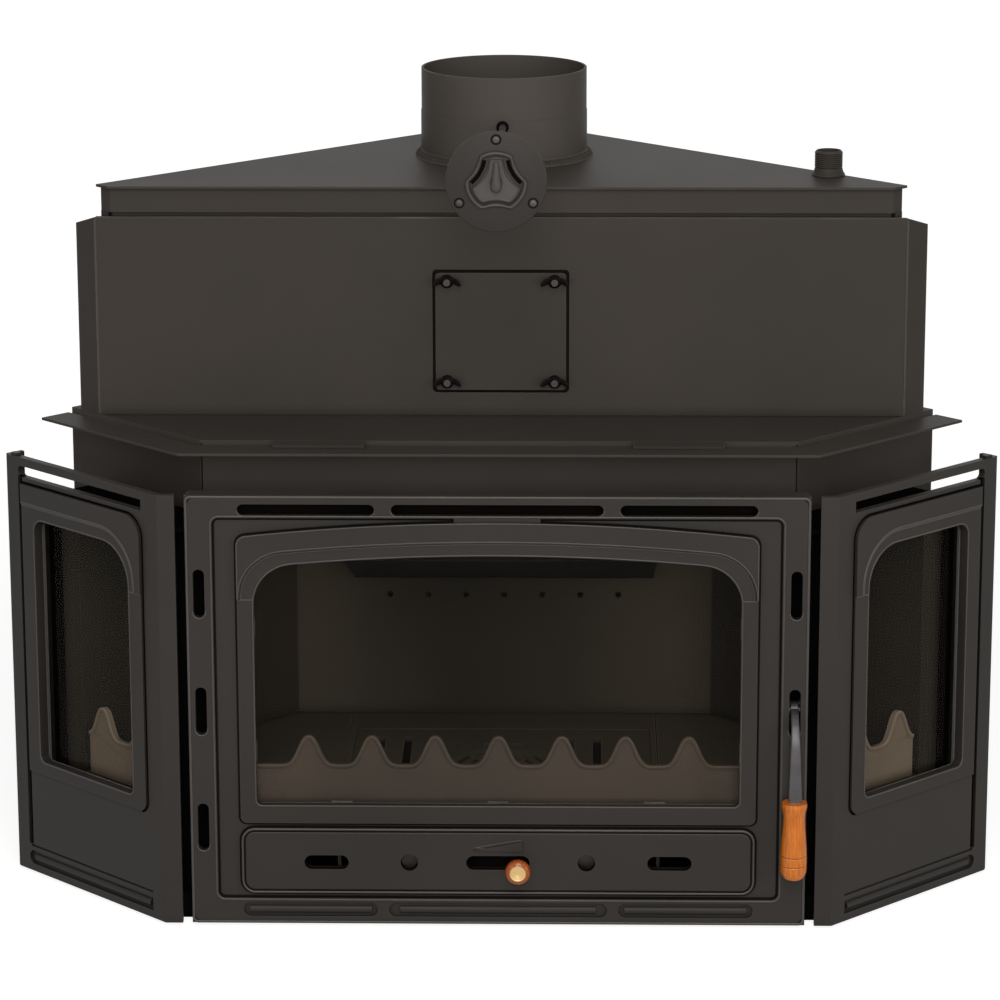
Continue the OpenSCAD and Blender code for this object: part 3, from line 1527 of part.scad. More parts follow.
// Turned wooden grip: collar, waist, swell with two rings and a round end.
module handle_grip() {
  r = grip_r;
  l = grip_len;
  color([0.85, 0.42, 0.08])
    translate([slot_side_x, door_y - shank_reach, casting_lift + grip_top - l])
      difference() {
        rotate_extrude()
          polygon(concat([[0, 0]], arc(r - grip_end_r, grip_end_r, grip_end_r, -90, 0, 8),
            [for (i = [0:12]) let (u = i / 12)
              [r * grip_swell(u), grip_foot + u * (l * 0.72 - grip_foot)]],
            [for (i = [1:6]) let (u = i / 6) [r * grip_neck(u), l * (0.72 + 0.22 * u)]],
            [[r * 0.95, l - 1], [r * 0.9, l], [0, l]]));
        translate([-shank_w / 2, -shank_t / 2, l - 1 - eps])
          cube([shank_w, shank_t, 2]);
      }
}

module air_slide() {
  travel_cover = air_slot_from + air_slot_len + air_slot_len + seat_gap;
  color([0.3, 0.29, 0.28]) door_place() {
    difference() {
      translate([-air_slot_from - air_slot_len - 9, casting_t + seat_gap, air_z - slide_z / 2])
        cube([travel_cover + air_slot_from + air_slot_len + 9, slide_t, slide_z]);
      upright(casting_t, casting_t + slide_t + 1) air_openings();
    }
    translate([knob_x, casting_t + seat_gap + eps, air_z])
      rotate([90, 0, 0]) cylinder(r = stem_d / 2, h = casting_t + knob_out);
  }
}
knob_bulge = 6.5;
// Round knob on its stem, with a flat disc let into the front.
module air_knob() {
  r = knob_d / 2;
  color([0.9, 0.6, 0.15]) door_place()
    translate([knob_x, seat_gap - knob_out, air_z]) rotate([90, 0, 0])
      rotate_extrude()
        polygon(concat([[0, 0], [r * 0.5, 0], [r * 0.55, 2]],
          arc(r - knob_bulge, 8.5, knob_bulge, -60, 75, 10),
          [[r * 0.62, 15.4], [r * 0.6, 16.5], [0, 16.5]]));
}

base_plate();
casing_header();
casing_sill();
casing_back_panels();
casing_rear();
casing_cover();
throat_top();
throat_floor();
throat_ends();
corner_posts();
firebox_side_walls();
firebox_rear_wall();
ash_box();
side_linings();
rear_lining();
hearth_plates();
grate_plate();
round_grate();
baffle();
front_log_guard();
side_log_guards();
ash_pan();
boiler_front();
boiler_flanks();
boiler_back_panels();
boiler_rear();
chamber_walls();
exchanger_tubes();
top_box();
top_plate();
flue_collar();
supply_nipple();
return_nipple();
hatch_cover();
hatch_gasket();
hatch_studs();
hatch_wing_nuts();
rosette_plate();
trim_flange();
flange_tabs();
side_casting_left();
side_casting_right();
side_glasses();
side_glass_seals();
hinge_brackets();
hinge_pins();
latch_keeper();
door_casting();
door_glass();
door_glass_seal();
glass_clips();
door_rope_seal();
latch_pin();
latch_lever();
handle_grip();
air_slide();
air_knob();
damper_rod();
damper_disc();
damper_lever();
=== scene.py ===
"""Looks of the boiler fireplace insert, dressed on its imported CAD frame.

The castings and plates keep their CAD nodes and get swept mouldings, beads, lips and
welds; the seals, the grip, the knob, the wing nuts, the screws and the threaded
nipples are new surfaces worked out with numpy. Sizes are written in millimetres and
placed in the part's own frame: the origin is on the floor under the flue axis, and
+Y points back into the corner.
"""
import math

import bmesh
import bpy
import numpy as np
from mathutils import Matrix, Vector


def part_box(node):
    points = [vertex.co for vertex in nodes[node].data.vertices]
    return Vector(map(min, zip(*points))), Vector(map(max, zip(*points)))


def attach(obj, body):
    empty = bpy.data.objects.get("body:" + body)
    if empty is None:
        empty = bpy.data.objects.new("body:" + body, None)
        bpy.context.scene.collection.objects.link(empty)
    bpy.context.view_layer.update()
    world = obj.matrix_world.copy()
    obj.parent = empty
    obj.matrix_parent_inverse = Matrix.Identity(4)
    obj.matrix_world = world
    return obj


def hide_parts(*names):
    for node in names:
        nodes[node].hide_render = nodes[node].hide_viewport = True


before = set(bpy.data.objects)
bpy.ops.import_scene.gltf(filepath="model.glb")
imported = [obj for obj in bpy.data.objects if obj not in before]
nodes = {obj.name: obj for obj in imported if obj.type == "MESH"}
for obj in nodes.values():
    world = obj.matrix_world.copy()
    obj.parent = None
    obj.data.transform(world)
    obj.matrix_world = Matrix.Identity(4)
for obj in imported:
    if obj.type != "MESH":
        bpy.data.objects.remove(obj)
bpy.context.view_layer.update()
scene = bpy.context.scene
MM = 0.001

# Sizes of the part, in millimetres
DOOR_FACE = -455.0       # y of the door's front face
CASTING_LIFT = 4.0       # z of the castings' feet
SIDE_NEAR = 385.0        # x of the corner where a side casting starts
HALF = math.sqrt(0.5)    # sine and cosine of the side castings' 45 degrees
PANEL_SINK = 3.0         # depth of the recess inside the door's border
HOOD_RISE = 3.0          # how far the hood stands in front of the door face
AIR_RISE = 1.0           # how far the air panel's edge stands in front of it
TOP_PLATE_Z = 828.0      # z of the top plate's upper face

# Rectangles on the door: half width, low, high, corner radius
DOOR_EDGE = (352.2, 1.8, 509.2, 5.0)
BORDER = (323.0, 31.0, 485.0, 8.0)
AIR_PANEL = (295.0, 38.0, 116.0, 15.0)
ROPE_LOOP = (314.0, 27.0, 459.0, 16.0)

# The door's window frame, window, hood and slots
FRAME_HALF, FRAME_LOW, FRAME_R = 296.0, 122.0, 8.0
WINDOW_HALF, WINDOW_LOW, WINDOW_CROWN = 277.0, 144.0, 441.0
WINDOW_R, WINDOW_LOW_R = 47.0, 7.0
ARCH_R = 2600.0          # radius of the arch along the window and the hood
HOOD_FOOT, HOOD_CROWN, HOOD_R, HOOD_INNER = 390.0, 480.5, 11.0, 458.0
SLOT_Z, SLOT_R = 494.5, 6.5
AIR_HOLE_Z, OBLONG_R, ROUND_R = 75.5, 8.5, 10.0
UPRIGHT_X, UPRIGHT_REACH, UPRIGHT_Z = 339.0, 22.0, (117.0, 256.5, 396.0)
RIB_Z, RIB_SINK = 16.6, -4.0
WEDGE = [[-28.0, 93.6], [26.3, 103.4], [26.3, 91.8]]

# The side castings: stations along them, heights, radii and rises
PAD_RISE, SIDE_HOOD_RISE = 2.5, 4.0
PAD_FROM, PAD_TO, PAD_LOW, PAD_R, PAD_LOW_R = 28.5, 248.0, 128.0, 26.0, 12.0
SIDE_WIN, FAR_R, SIDE_LOW_R = (51.5, 225.0, 144.0, 441.0), 15, 8
SIDE_HOOD_FROM, SIDE_HOOD_R = 40.0, 61.0
SIDE_SLIT, SIDE_SLIT_LOW, SIDE_SLIT_HIGH = 252.0, 34.5, 489.0
SIDE_RIB_FROM = 29.0

# Log guards and seals
HEARTH_Z, GUARD_DEPTH, GUARD_TROUGH, GUARD_HUMP, GUARD_PITCH = 132.0, 46.0, 50.0, 35.0, 73.3
GUARD_HALF = 296.0
SIDE_GUARD_FROM, SIDE_GUARD_TO, SIDE_GUARD_PEAK = 47.5, 193.0, 167.0
GLASS_LAP, TAPE_DEPTH, ROPE_DEPTH, ROPE_R = 8.0, 10.5, 24.7, 5.0


def linear(code, alpha=1.0):
    """An sRGB hex value as linear RGBA."""
    out = []
    for i in (0, 2, 4):
        c = int(code[i:i + 2], 16) / 255
        out.append(c / 12.92 if c <= 0.04045 else ((c + 0.055) / 1.055) ** 2.4)
    return (*out, alpha)


def add(tree, kind, values=None, links=None, **settings):
    """Adds one shader node: settings are its properties, values its sockets' constants,
    links maps its input sockets to the output sockets that feed them."""
    made = tree.nodes.new(kind)
    for key, value in settings.items():
        setattr(made, key, value)
    for key, value in (values or {}).items():
        made.inputs[key].default_value = value
    for key, source in (links or {}).items():
        tree.links.new(source, made.inputs[key])
    return made


def blank(name):
    """An empty node material, its tree, its output and its Object coordinates."""
    made = bpy.data.materials.new(name)
    made.use_nodes = True
    tree = made.node_tree
    tree.nodes.clear()
    out = add(tree, "ShaderNodeOutputMaterial")
    place = add(tree, "ShaderNodeTexCoord").outputs["Object"]
    return made, tree, out, place


def ramp(tree, source, stops):
    """A colour ramp over a factor: stops are (position, sRGB hex)."""
    made = add(tree, "ShaderNodeValToRGB", links={"Fac": source})
    band = made.color_ramp
    while len(band.elements) < len(stops):
        band.elements.new(0.5)
    for element, (at, code) in zip(band.elements, stops):
        element.position = at
        element.color = linear(code)
    return made.outputs["Color"]


def painted(name, base, worn, grain_mm, bump, rough, edge_mm=0.9, specular=0.25, corner_shade_power=0.8,
            edge_highlight=1.0, side_light_mm=0):
    """Matt heat-resistant paint on iron: a fine grain from the mould or the spray, slow
    cloudy changes of tone and edges rounded by the casting sand or the grinder. Convex edges
    are painted lighter as a highlight, most where they face up, and corners are painted darker
    as shade. With a distance in millimetres as the last argument, it is painted darker in the middle of the
    part and lighter beyond that distance from the middle, as light from the side windows."""
    made, tree, out, place = blank(name)
    clouds = add(tree, "ShaderNodeTexNoise", {"Scale": 4.0, "Detail": 4.0, "Roughness": 0.55},
                 {"Vector": place})
    grain = add(tree, "ShaderNodeTexNoise", {"Scale": 1 / (2.5 * grain_mm * MM), "Detail": 3.0},
                {"Vector": place})
    tone = ramp(tree, clouds.outputs["Fac"], [(0.35, base), (0.72, worn)])
    fleck = add(tree, "ShaderNodeMix", {"Factor": 0.10}, {6: tone, 7: grain.outputs["Color"]},
                data_type="RGBA", blend_type="OVERLAY")
    gloss = add(tree, "ShaderNodeMapRange", {"To Min": rough - 0.05, "To Max": rough + 0.08},
                {"Value": clouds.outputs["Fac"]})
    edges = add(tree, "ShaderNodeBevel", {"Radius": edge_mm * MM}, samples=4)
    skin = add(tree, "ShaderNodeBump", {"Strength": bump, "Distance": 0.0003},
               {"Height": grain.outputs["Fac"], "Normal": edges.outputs["Normal"]})
    # Painted highlight: convex edges, found by occlusion inside the part, are made lighter, most where they
    # face up, as light from above catches them
    rim = add(tree, "ShaderNodeAmbientOcclusion", {"Distance": 0.0022}, samples=4, inside=True,
              only_local=True)
    highlit = add(tree, "ShaderNodeMapRange", {"From Min": 1.0, "From Max": 0.4, "To Max": 1.0},
                 {"Value": rim.outputs["AO"]})
    tilt = add(tree, "ShaderNodeSeparateXYZ", links={0: edges.outputs["Normal"]})
    upward_highlight = add(tree, "ShaderNodeMapRange",
                  {"From Min": -0.1, "From Max": 0.7, "To Min": 0.12 * edge_highlight, "To Max": edge_highlight},
                  {"Value": tilt.outputs["Z"]})
    highlight_amount = add(tree, "ShaderNodeMath", links={0: highlit.outputs["Result"],
                                               1: upward_highlight.outputs["Result"]}, operation="MULTIPLY")
    lit = add(tree, "ShaderNodeMix",
              links={0: highlight_amount.outputs[0], 6: fleck.outputs[2], 7: fleck.outputs[2]},
              data_type="RGBA", blend_type="ADD")
    # Painted shade: the colour is darkened by ambient occlusion in corners and hollows, where shade falls
    corner = add(tree, "ShaderNodeAmbientOcclusion", {"Distance": 0.014}, samples=4)
    painted_corner_shade = add(tree, "ShaderNodeMath", {1: corner_shade_power}, {0: corner.outputs["AO"]}, operation="POWER")
    colour = add(tree, "ShaderNodeVectorMath", links={0: lit.outputs[2], "Scale": painted_corner_shade.outputs[0]},
                 operation="SCALE")
    # Painted light: darker in the middle of the part and lighter towards its ends, where light from the
    # side windows falls
    if side_light_mm:
        across = add(tree, "ShaderNodeSeparateXYZ", links={0: place})
        off = add(tree, "ShaderNodeMath", links={0: across.outputs["X"]}, operation="ABSOLUTE")
        side_window_light = add(tree, "ShaderNodeMapRange",
                    {"From Min": 0.2 * side_light_mm * MM, "From Max": side_light_mm * MM, "To Min": 0.72,
                     "To Max": 1.28}, {"Value": off.outputs[0]}, interpolation_type="SMOOTHSTEP")
        colour = add(tree, "ShaderNodeVectorMath",
                     links={0: colour.outputs[0], "Scale": side_window_light.outputs["Result"]}, operation="SCALE")
    shader = add(tree, "ShaderNodeBsdfPrincipled",
                 {"Metallic": 0.0, "IOR": 1.45, "Specular IOR Level": specular},
                 {"Base Color": colour.outputs[0], "Roughness": gloss.outputs["Result"],
                  "Normal": skin.outputs["Normal"]})
    tree.links.new(shader.outputs[0], out.inputs[0])
    return made


def steel(name, dark, light, rough, metallic, edge_mm=0.5):
    """Blackened or bright steel: fine streaks in tone and gloss from its working."""
    made, tree, out, place = blank(name)
    streaks = add(tree, "ShaderNodeTexNoise", {"Scale": 70.0, "Detail": 5.0}, {"Vector": place})
    gloss = add(tree, "ShaderNodeMapRange", {"To Min": rough - 0.08, "To Max": rough + 0.10},
                {"Value": streaks.outputs["Fac"]})
    tone = ramp(tree, streaks.outputs["Fac"], [(0.3, dark), (0.75, light)])
    edges = add(tree, "ShaderNodeBevel", {"Radius": edge_mm * MM}, samples=4)
    shader = add(tree, "ShaderNodeBsdfPrincipled", {"Metallic": metallic},
                 {"Base Color": tone, "Roughness": gloss.outputs["Result"],
                  "Normal": edges.outputs["Normal"]})
    tree.links.new(shader.outputs[0], out.inputs[0])
    return made


def ceramic_glass():
    """Clear glass ceramic: colourless, seen through, with a weak mirror image and the
    faintest patchy film of soot."""
    made, tree, out, place = blank("glass ceramic, clear")
    haze = add(tree, "ShaderNodeTexNoise", {"Scale": 6.0, "Detail": 3.0}, {"Vector": place})
    soot = ramp(tree, haze.outputs["Fac"], [(0.4, "0c0b0a"), (0.8, "26221e")])
    clear = add(tree, "ShaderNodeBsdfTransparent", {"Color": linear("f1efea")})
    shine = add(tree, "ShaderNodeBsdfGlossy", {"Roughness": 0.03, "Color": linear("9a9a9a")})
    facing = add(tree, "ShaderNodeLayerWeight", {"Blend": 0.5})
    curve = add(tree, "ShaderNodeMath", {1: 5.0}, {0: facing.outputs["Facing"]}, operation="POWER")
    face = add(tree, "ShaderNodeMapRange", {"To Min": 0.006, "To Max": 0.5},
               {"Value": curve.outputs[0]})
    mixed = add(tree, "ShaderNodeMixShader",
                links={0: face.outputs[0], 1: clear.outputs[0], 2: shine.outputs[0]})
    film = add(tree, "ShaderNodeBsdfDiffuse", links={"Color": soot})
    both = add(tree, "ShaderNodeMixShader", {0: 0.03}, {1: mixed.outputs[0], 2: film.outputs[0]})
    tree.links.new(both.outputs[0], out.inputs[0])
    return made


def braid(name, code, rib_mm):
    """Knitted glass fibre: small slanting ribs with loose fuzz over them."""
    made, tree, out, place = blank(name)
    rib = add(tree, "ShaderNodeTexWave", {"Scale": 0.5 / (rib_mm * MM), "Distortion": 1.5},
              {"Vector": place}, wave_type="BANDS", bands_direction="DIAGONAL")
    fuzz = add(tree, "ShaderNodeTexNoise", {"Scale": 900.0}, {"Vector": place})
    height = add(tree, "ShaderNodeMath", links={0: rib.outputs["Fac"], 1: fuzz.outputs["Fac"]},
                 operation="ADD")
    skin = add(tree, "ShaderNodeBump", {"Strength": 0.7, "Distance": 0.0006},
               {"Height": height.outputs[0]})
    tone = ramp(tree, rib.outputs["Fac"], [(0.2, "171513"), (0.9, code)])
    shader = add(tree, "ShaderNodeBsdfPrincipled", {"Roughness": 0.95, "Sheen Weight": 0.3},
                 {"Base Color": tone, "Normal": skin.outputs["Normal"]})
    tree.links.new(shader.outputs[0], out.inputs[0])
    return made


def lacquered_wood(name, dark, mid, light):
    """Turned beech under amber lacquer: fine long grain along Z below a glossy coat."""
    made, tree, out, place = blank(name)
    turn = add(tree, "ShaderNodeMapping", {"Scale": (1.0, 1.0, 0.08)}, {"Vector": place})
    grain = add(tree, "ShaderNodeTexNoise", {"Scale": 500.0, "Detail": 6.0, "Distortion": 0.4},
                {"Vector": turn.outputs[0]})
    tone = ramp(tree, grain.outputs["Fac"], [(0.28, dark), (0.52, mid), (0.80, light)])
    shader = add(tree, "ShaderNodeBsdfPrincipled",
                 {"Roughness": 0.45, "Coat Weight": 0.55, "Coat Roughness": 0.06, "IOR": 1.45,
                  "Specular IOR Level": 0.15},
                 {"Base Color": tone})
    tree.links.new(shader.outputs[0], out.inputs[0])
    return made


def brass(across, height):
    """Turned and polished brass: lathe rings 1.5 mm apart about an axis along Y, given in
    millimetres."""
    made, tree, out, place = blank("brass, turned and polished")
    flat = add(tree, "ShaderNodeMapping",
               {"Location": (-across * MM, 0, -height * MM), "Scale": (1, 0, 1)}, {"Vector": place})
    off = add(tree, "ShaderNodeVectorMath", links={0: flat.outputs[0]}, operation="LENGTH")
    turn = add(tree, "ShaderNodeMath", {1: 2 * math.pi / (1.5 * MM)}, {0: off.outputs["Value"]},
               operation="MULTIPLY")
    rings = add(tree, "ShaderNodeMath", links={0: turn.outputs[0]}, operation="SINE")
    level = add(tree, "ShaderNodeMapRange", {"From Min": -1.0}, {"Value": rings.outputs[0]})
    tone = ramp(tree, level.outputs["Result"], [(0.0, "9a743a"), (1.0, "e8cb94")])
    skin = add(tree, "ShaderNodeBump", {"Strength": 0.4, "Distance": 0.0002},
               {"Height": level.outputs["Result"]})
    shader = add(tree, "ShaderNodeBsdfPrincipled", {"Metallic": 1.0, "Roughness": 0.34},
                 {"Base Color": tone, "Normal": skin.outputs["Normal"]})
    tree.links.new(shader.outputs[0], out.inputs[0])
    return made


CASTING = painted("cast iron, matt stove paint", "2a2724", "302c29", 0.5, 0.16, 0.48, specular=0.18)
# A lighter copy of the casting paint: a painted highlight on the beads, lips, welds, studs, badge and
# levers that carry it
HIGHLIGHT_PAINT = painted("cast iron, rubbed edges", "373431", "403d3a", 0.5, 0.10, 0.42, corner_shade_power=0.5, edge_highlight=1.5)
BOILER = painted("boiler plate, matt stove paint", "383430", "3e3935", 0.35, 0.10, 0.48,
                 specular=0.08)
TUBE = painted("rolled flue pipe, stove paint", "4b4641", "524d47", 0.35, 0.08, 0.45, 0.25, 0.03,
               edge_highlight=0.2)
# Rear lining: painted darker in the middle and lighter towards its ends, as light from the side windows
LINING = painted("cast iron lining, painted light at its ends", "433f39", "4e483f", 1.4, 0.35, 0.78,
                 specular=0.1, side_light_mm=250)
# Side linings: a darker copy of the lining paint, as painted shade
SHADED_LINING = painted("cast iron side lining, painted shade", "35312d", "3f3a34", 1.4, 0.35, 0.78, specular=0.1)
GUARD = painted("cast iron guard, dusty", "585250", "6a605b", 0.9, 0.30, 0.85, specular=0.1)
GUARD_SIDE = painted("cast iron side guard, ash grey", "85786f", "998c82", 0.9, 0.30, 0.85,
                     specular=0.1)
GRATE = painted("cast iron grate, raw", "4d473f", "585046", 1.0, 0.35, 0.75, specular=0.1)
DARK = painted("cast iron baffle, sooted", "211f1d", "292624", 1.0, 0.3, 0.85, specular=0.1)
# Painted shade: near black paint laid as bands in grooves and seams, round the screws and on the wing nuts,
# where shade falls
GROOVE_SHADE = painted("stove paint in grooves, unlit", "171412", "1c1917", 0.6, 0.1, 0.90, specular=0.0)
# Black: soot in the firebox, and painted shade where it fills gaps, slots, holes and the parts seen only
# through them
SOOT_AND_SHADE = painted("iron, black as soot and painted shade", "0b0a09", "100e0d", 0.6, 0.2, 0.95, specular=0.0)
FITTING = steel("steel fittings, blackened", "34312e", "524e49", 0.48, 0.5)
SHANK = steel("forged latch, blackened", "3d3b3c", "4c4a4b", 0.42, 0.35)
ZINC = steel("sheet steel, zinc plated", "77746e", "8d8a84", 0.40, 0.9)
GLASS = ceramic_glass()
ROPE = braid("glass fibre rope, black", "3b3733", 3.0)
TAPE = braid("glass fibre tape, black", "34312d", 1.5)
WOOD = lacquered_wood("beech, amber lacquer", "b2570a", "c96b0c", "d8821a")
WOOD_DARK = lacquered_wood("beech, burnt ring", "3a1603", "481d04", "562506")
KNOB_WOOD = lacquered_wood("beech knob, amber lacquer", "6e2a02", "984404", "b85c0a")
KNOB_X, KNOB_Z = 23.5, 79.5
BRASS = brass(KNOB_X, KNOB_Z)


def build(name, verts, faces, material, body, replaces=()):
    """A closed piece from corners in millimetres and faces; it rides on a body. Its doubles
    are merged and its faces turned outwards; faces meeting over 40 degrees stay sharp."""
    data = bpy.data.meshes.new(name)
    points = np.asarray(verts, float) * MM
    data.from_pydata(points.tolist(), [], [[int(i) for i in face] for face in faces])
    mesh = bmesh.new()
    mesh.from_mesh(data)
    bmesh.ops.remove_doubles(mesh, verts=mesh.verts, dist=2e-6)
    bmesh.ops.recalc_face_normals(mesh, faces=mesh.faces)
    for face in mesh.faces:
        face.smooth = True
    for edge in mesh.edges:
        edge.smooth = len(edge.link_faces) == 2 and edge.calc_face_angle(0.0) < math.radians(40)
    mesh.to_mesh(data)
    mesh.free()
    piece = bpy.data.objects.new(name, data)
    scene.collection.objects.link(piece)
    data.materials.append(material)
    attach(piece, body)
    if replaces:
        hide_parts(*replaces)
    return piece


def joined(*shapes):
    """Several (corners, faces) pairs as one."""
    verts, faces, first = [], [], 0
    for some, quads in shapes:
        verts.append(np.asarray(some, float))
        faces += [[i + first for i in face] for face in quads]
        first += len(some)
    return np.concatenate(verts), faces


def grid(nu, nv, wrap_u, wrap_v):
    """Quads of a grid of nu by nv corners, joined round where it wraps."""
    a, b = np.meshgrid(np.arange(nu if wrap_u else nu - 1),
                       np.arange(nv if wrap_v else nv - 1), indexing="ij")
    a2, b2 = (a + 1) % nu, (b + 1) % nv
    quads = np.stack([a * nv + b, a2 * nv + b, a2 * nv + b2, a * nv + b2], -1)
    return quads.reshape(-1, 4).tolist()


def capped(rings, n):
    """Faces of a row of rings of n corners each, closed at both ends."""
    last = (rings - 1) * n
    return grid(rings, n, False, True) + [list(range(n)), list(range(last, last + n))]


def prism(plan, low, high):
    """A plan of (x, y) corners raised from one height to another."""
    verts = np.concatenate([np.column_stack([plan, np.full(len(plan), z)]) for z in (low, high)])
    return verts, capped(2, len(plan))


def lathe(profile, at, axis="z", turns=64, closed=False):
    """Spins (radius, along) pairs about an axis: a = r cos t, b = r sin t, and along runs
    on the axis. An open profile is capped at both ends, a closed one joins its ends."""
    profile = np.asarray(profile, float)
    t = np.linspace(0, 2 * np.pi, turns, endpoint=False)
    r = profile[:, 0][:, None]
    h = profile[:, 1][:, None] + 0 * t
    a, b = r * np.cos(t), r * np.sin(t)
    parts = {"z": (a, b, h), "y": (a, h, b), "x": (h, a, b)}[axis]
    verts = np.stack(parts, -1).reshape(-1, 3) + np.asarray(at, float)
    return verts, grid(len(profile), turns, True, True) if closed else capped(len(profile), turns)


def dense(path, step, closed):
    """The path with extra points, no two further apart than step."""
    path = np.asarray(path, float)
    starts = path if closed else path[:-1]
    ends = np.roll(path, -1, 0) if closed else path[1:]
    out = []
    for a, b in zip(starts, ends):
        n = max(1, int(np.ceil(np.linalg.norm(b - a) / step)))
        out.append(a + (b - a) * np.linspace(0, 1, n, endpoint=False)[:, None])
    if not closed:
        out.append(path[-1:])
    return np.concatenate(out)


def left_normals(path, closed):
    """Unit normals on the left of a plane path's direction of travel: at each point the
    mean direction of the two stretches that meet there, turned by 90 degrees."""
    if closed:
        d = np.roll(path, -1, 0) - np.roll(path, 1, 0)
    else:
        d = np.gradient(path, axis=0)
    d = d / (np.linalg.norm(d, axis=1)[:, None] + 1e-12)
    return np.stack([-d[:, 1], d[:, 0]], -1)


def carried(path, profile, closed):
    """Carries a closed profile of (offset, rise) along a plane path: each point of the path
    moves by offset along its left normal, and rise is the height over the face."""
    path, profile = np.asarray(path, float), np.asarray(profile, float)
    side = left_normals(path, closed)
    flat = path[:, None] + side[:, None] * profile[None, :, :1]
    rise = np.broadcast_to(profile[None, :, 1], flat.shape[:2])
    faces = grid(len(path), len(profile), True, True) if closed else capped(len(path), len(profile))
    return np.concatenate([flat, rise[..., None]], -1).reshape(-1, 3), faces


def on_door(shape):
    """(across, height, rise) over the door's face to the part's frame."""
    p, faces = shape
    return np.stack([p[:, 0], DOOR_FACE - p[:, 2], p[:, 1] + CASTING_LIFT], -1), faces


def on_side(shape, hand):
    """(station, height, rise) over a side casting's face; hand is 1 right, -1 left."""
    p, faces = shape
    x = SIDE_NEAR + (p[:, 0] + p[:, 2]) * HALF
    y = DOOR_FACE + (p[:, 0] - p[:, 2]) * HALF
    return np.stack([hand * x, y, p[:, 1] + CASTING_LIFT], -1), faces


def arc(cx, cz, r, start, end, steps):
    """Points of an arc between two angles in degrees."""
    t = np.radians(np.linspace(start, end, steps))
    return np.stack([cx + r * np.cos(t), cz + r * np.sin(t)], -1)


def rounded(x0, x1, z0, z1, r, steps=9):
    """A rectangle's outline with round corners, anticlockwise."""
    corners = [(x1 - r, z1 - r, 0), (x0 + r, z1 - r, 90), (x0 + r, z0 + r, 180), (x1 - r, z0 + r, 270)]
    return np.concatenate([arc(x, z, r, turn, turn + 90, steps) for x, z, turn in corners])


def framed(size, grow=0.0):
    """The outline of a rectangle of a (half width, low, high, corner radius), drawn outwards
    by an offset."""
    half, low, high, r = size
    return rounded(-half - grow, half + grow, low - grow, high + grow, r + grow)


def arch(half, foot, crown, r, arch_r=ARCH_R):
    """A path from the right foot over a slightly arched top to the left foot: its corner
    arcs run smoothly into the crown arc."""
    corner = crown - arch_r + math.sqrt((arch_r - r) ** 2 - (half - r) ** 2)
    turn = math.degrees(math.atan2(corner - crown + arch_r, half - r))
    right = np.concatenate([[[half, foot]], arc(half - r, corner, r, 0, turn, 14),
                            arc(0, crown - arch_r, arch_r, turn, 90, 24)[1:]])
    return np.concatenate([right, right[-2::-1] * [-1, 1]])


def closed_arch(half, low, crown, r, low_r, foot):
    """An arch's path whose feet are joined below by a level stretch with two round corners."""
    return np.concatenate([arch(half, foot, crown, r), arc(low_r - half, low + low_r, low_r, 180, 270, 7),
                           arc(half - low_r, low + low_r, low_r, 270, 360, 7)[:-1]])


def bead(width, rise, base=0.0, sink=0.4, steps=7):
    """Profile of a bead: a half ellipse of a width and a rise, standing at base."""
    t = np.linspace(0, np.pi, steps)
    top = np.stack([width / 2 * np.cos(t), base + rise * np.sin(t)], -1)
    return np.concatenate([[[width / 2, base - sink]], top, [[-width / 2, base - sink]]])


def band(width, thickness, corner=0.8, base=0.0):
    """Profile of a flat band with round edges, lying on base."""
    return rounded(-width / 2, width / 2, base, base + thickness, corner, 4)


def cove(high, low):
    """Profile that falls from a raised edge to a lower face in two small beads: offsets grow
    towards the lower face."""
    return [(-1.4, high - 0.5), (-1.3, high + 0.1), (-0.7, high + 0.6), (0.1, high + 0.5),
            (0.7, high - 0.2), (1.0, (high + low) / 2), (1.6, low + 0.5), (2.3, low + 0.45),
            (2.9, low + 0.75), (3.6, low + 0.5), (3.9, low), (3.9, low - 0.5)]


# Finishes of the CAD nodes
finish = {
    "side_linings": SHADED_LINING, "rear_lining": LINING, "firebox_side_walls": SHADED_LINING,
    "hearth_plates": GRATE, "grate_plate": GRATE, "round_grate": GRATE,
    "baffle": DARK, "damper_disc": DARK, "chamber_walls": DARK, "exchanger_tubes": DARK,
    "front_log_guard": GUARD, "side_log_guards": GUARD,
    "door_glass": GLASS, "side_glasses": GLASS,
    "door_casting": CASTING, "side_casting_left": CASTING, "side_casting_right": CASTING,
    "rosette_plate": CASTING, "damper_lever": HIGHLIGHT_PAINT, "flue_collar": TUBE,
    # Corner posts, throat and air slide are painted black as shade; the side linings take the shaded lining
    # paint, the damper lever and hatch studs the highlight paint
    "corner_posts": SOOT_AND_SHADE, "throat_top": SOOT_AND_SHADE, "throat_floor": SOOT_AND_SHADE, "throat_ends": SOOT_AND_SHADE,
    "latch_lever": SHANK, "ash_pan": ZINC, "air_slide": SOOT_AND_SHADE, "damper_rod": FITTING,
    "hatch_studs": HIGHLIGHT_PAINT, "hinge_pins": FITTING, "latch_keeper": FITTING,
    "latch_pin": FITTING, "glass_clips": ZINC,
}
for name, node in nodes.items():
    node.data.materials.clear()
    node.data.materials.append(finish.get(name, BOILER))

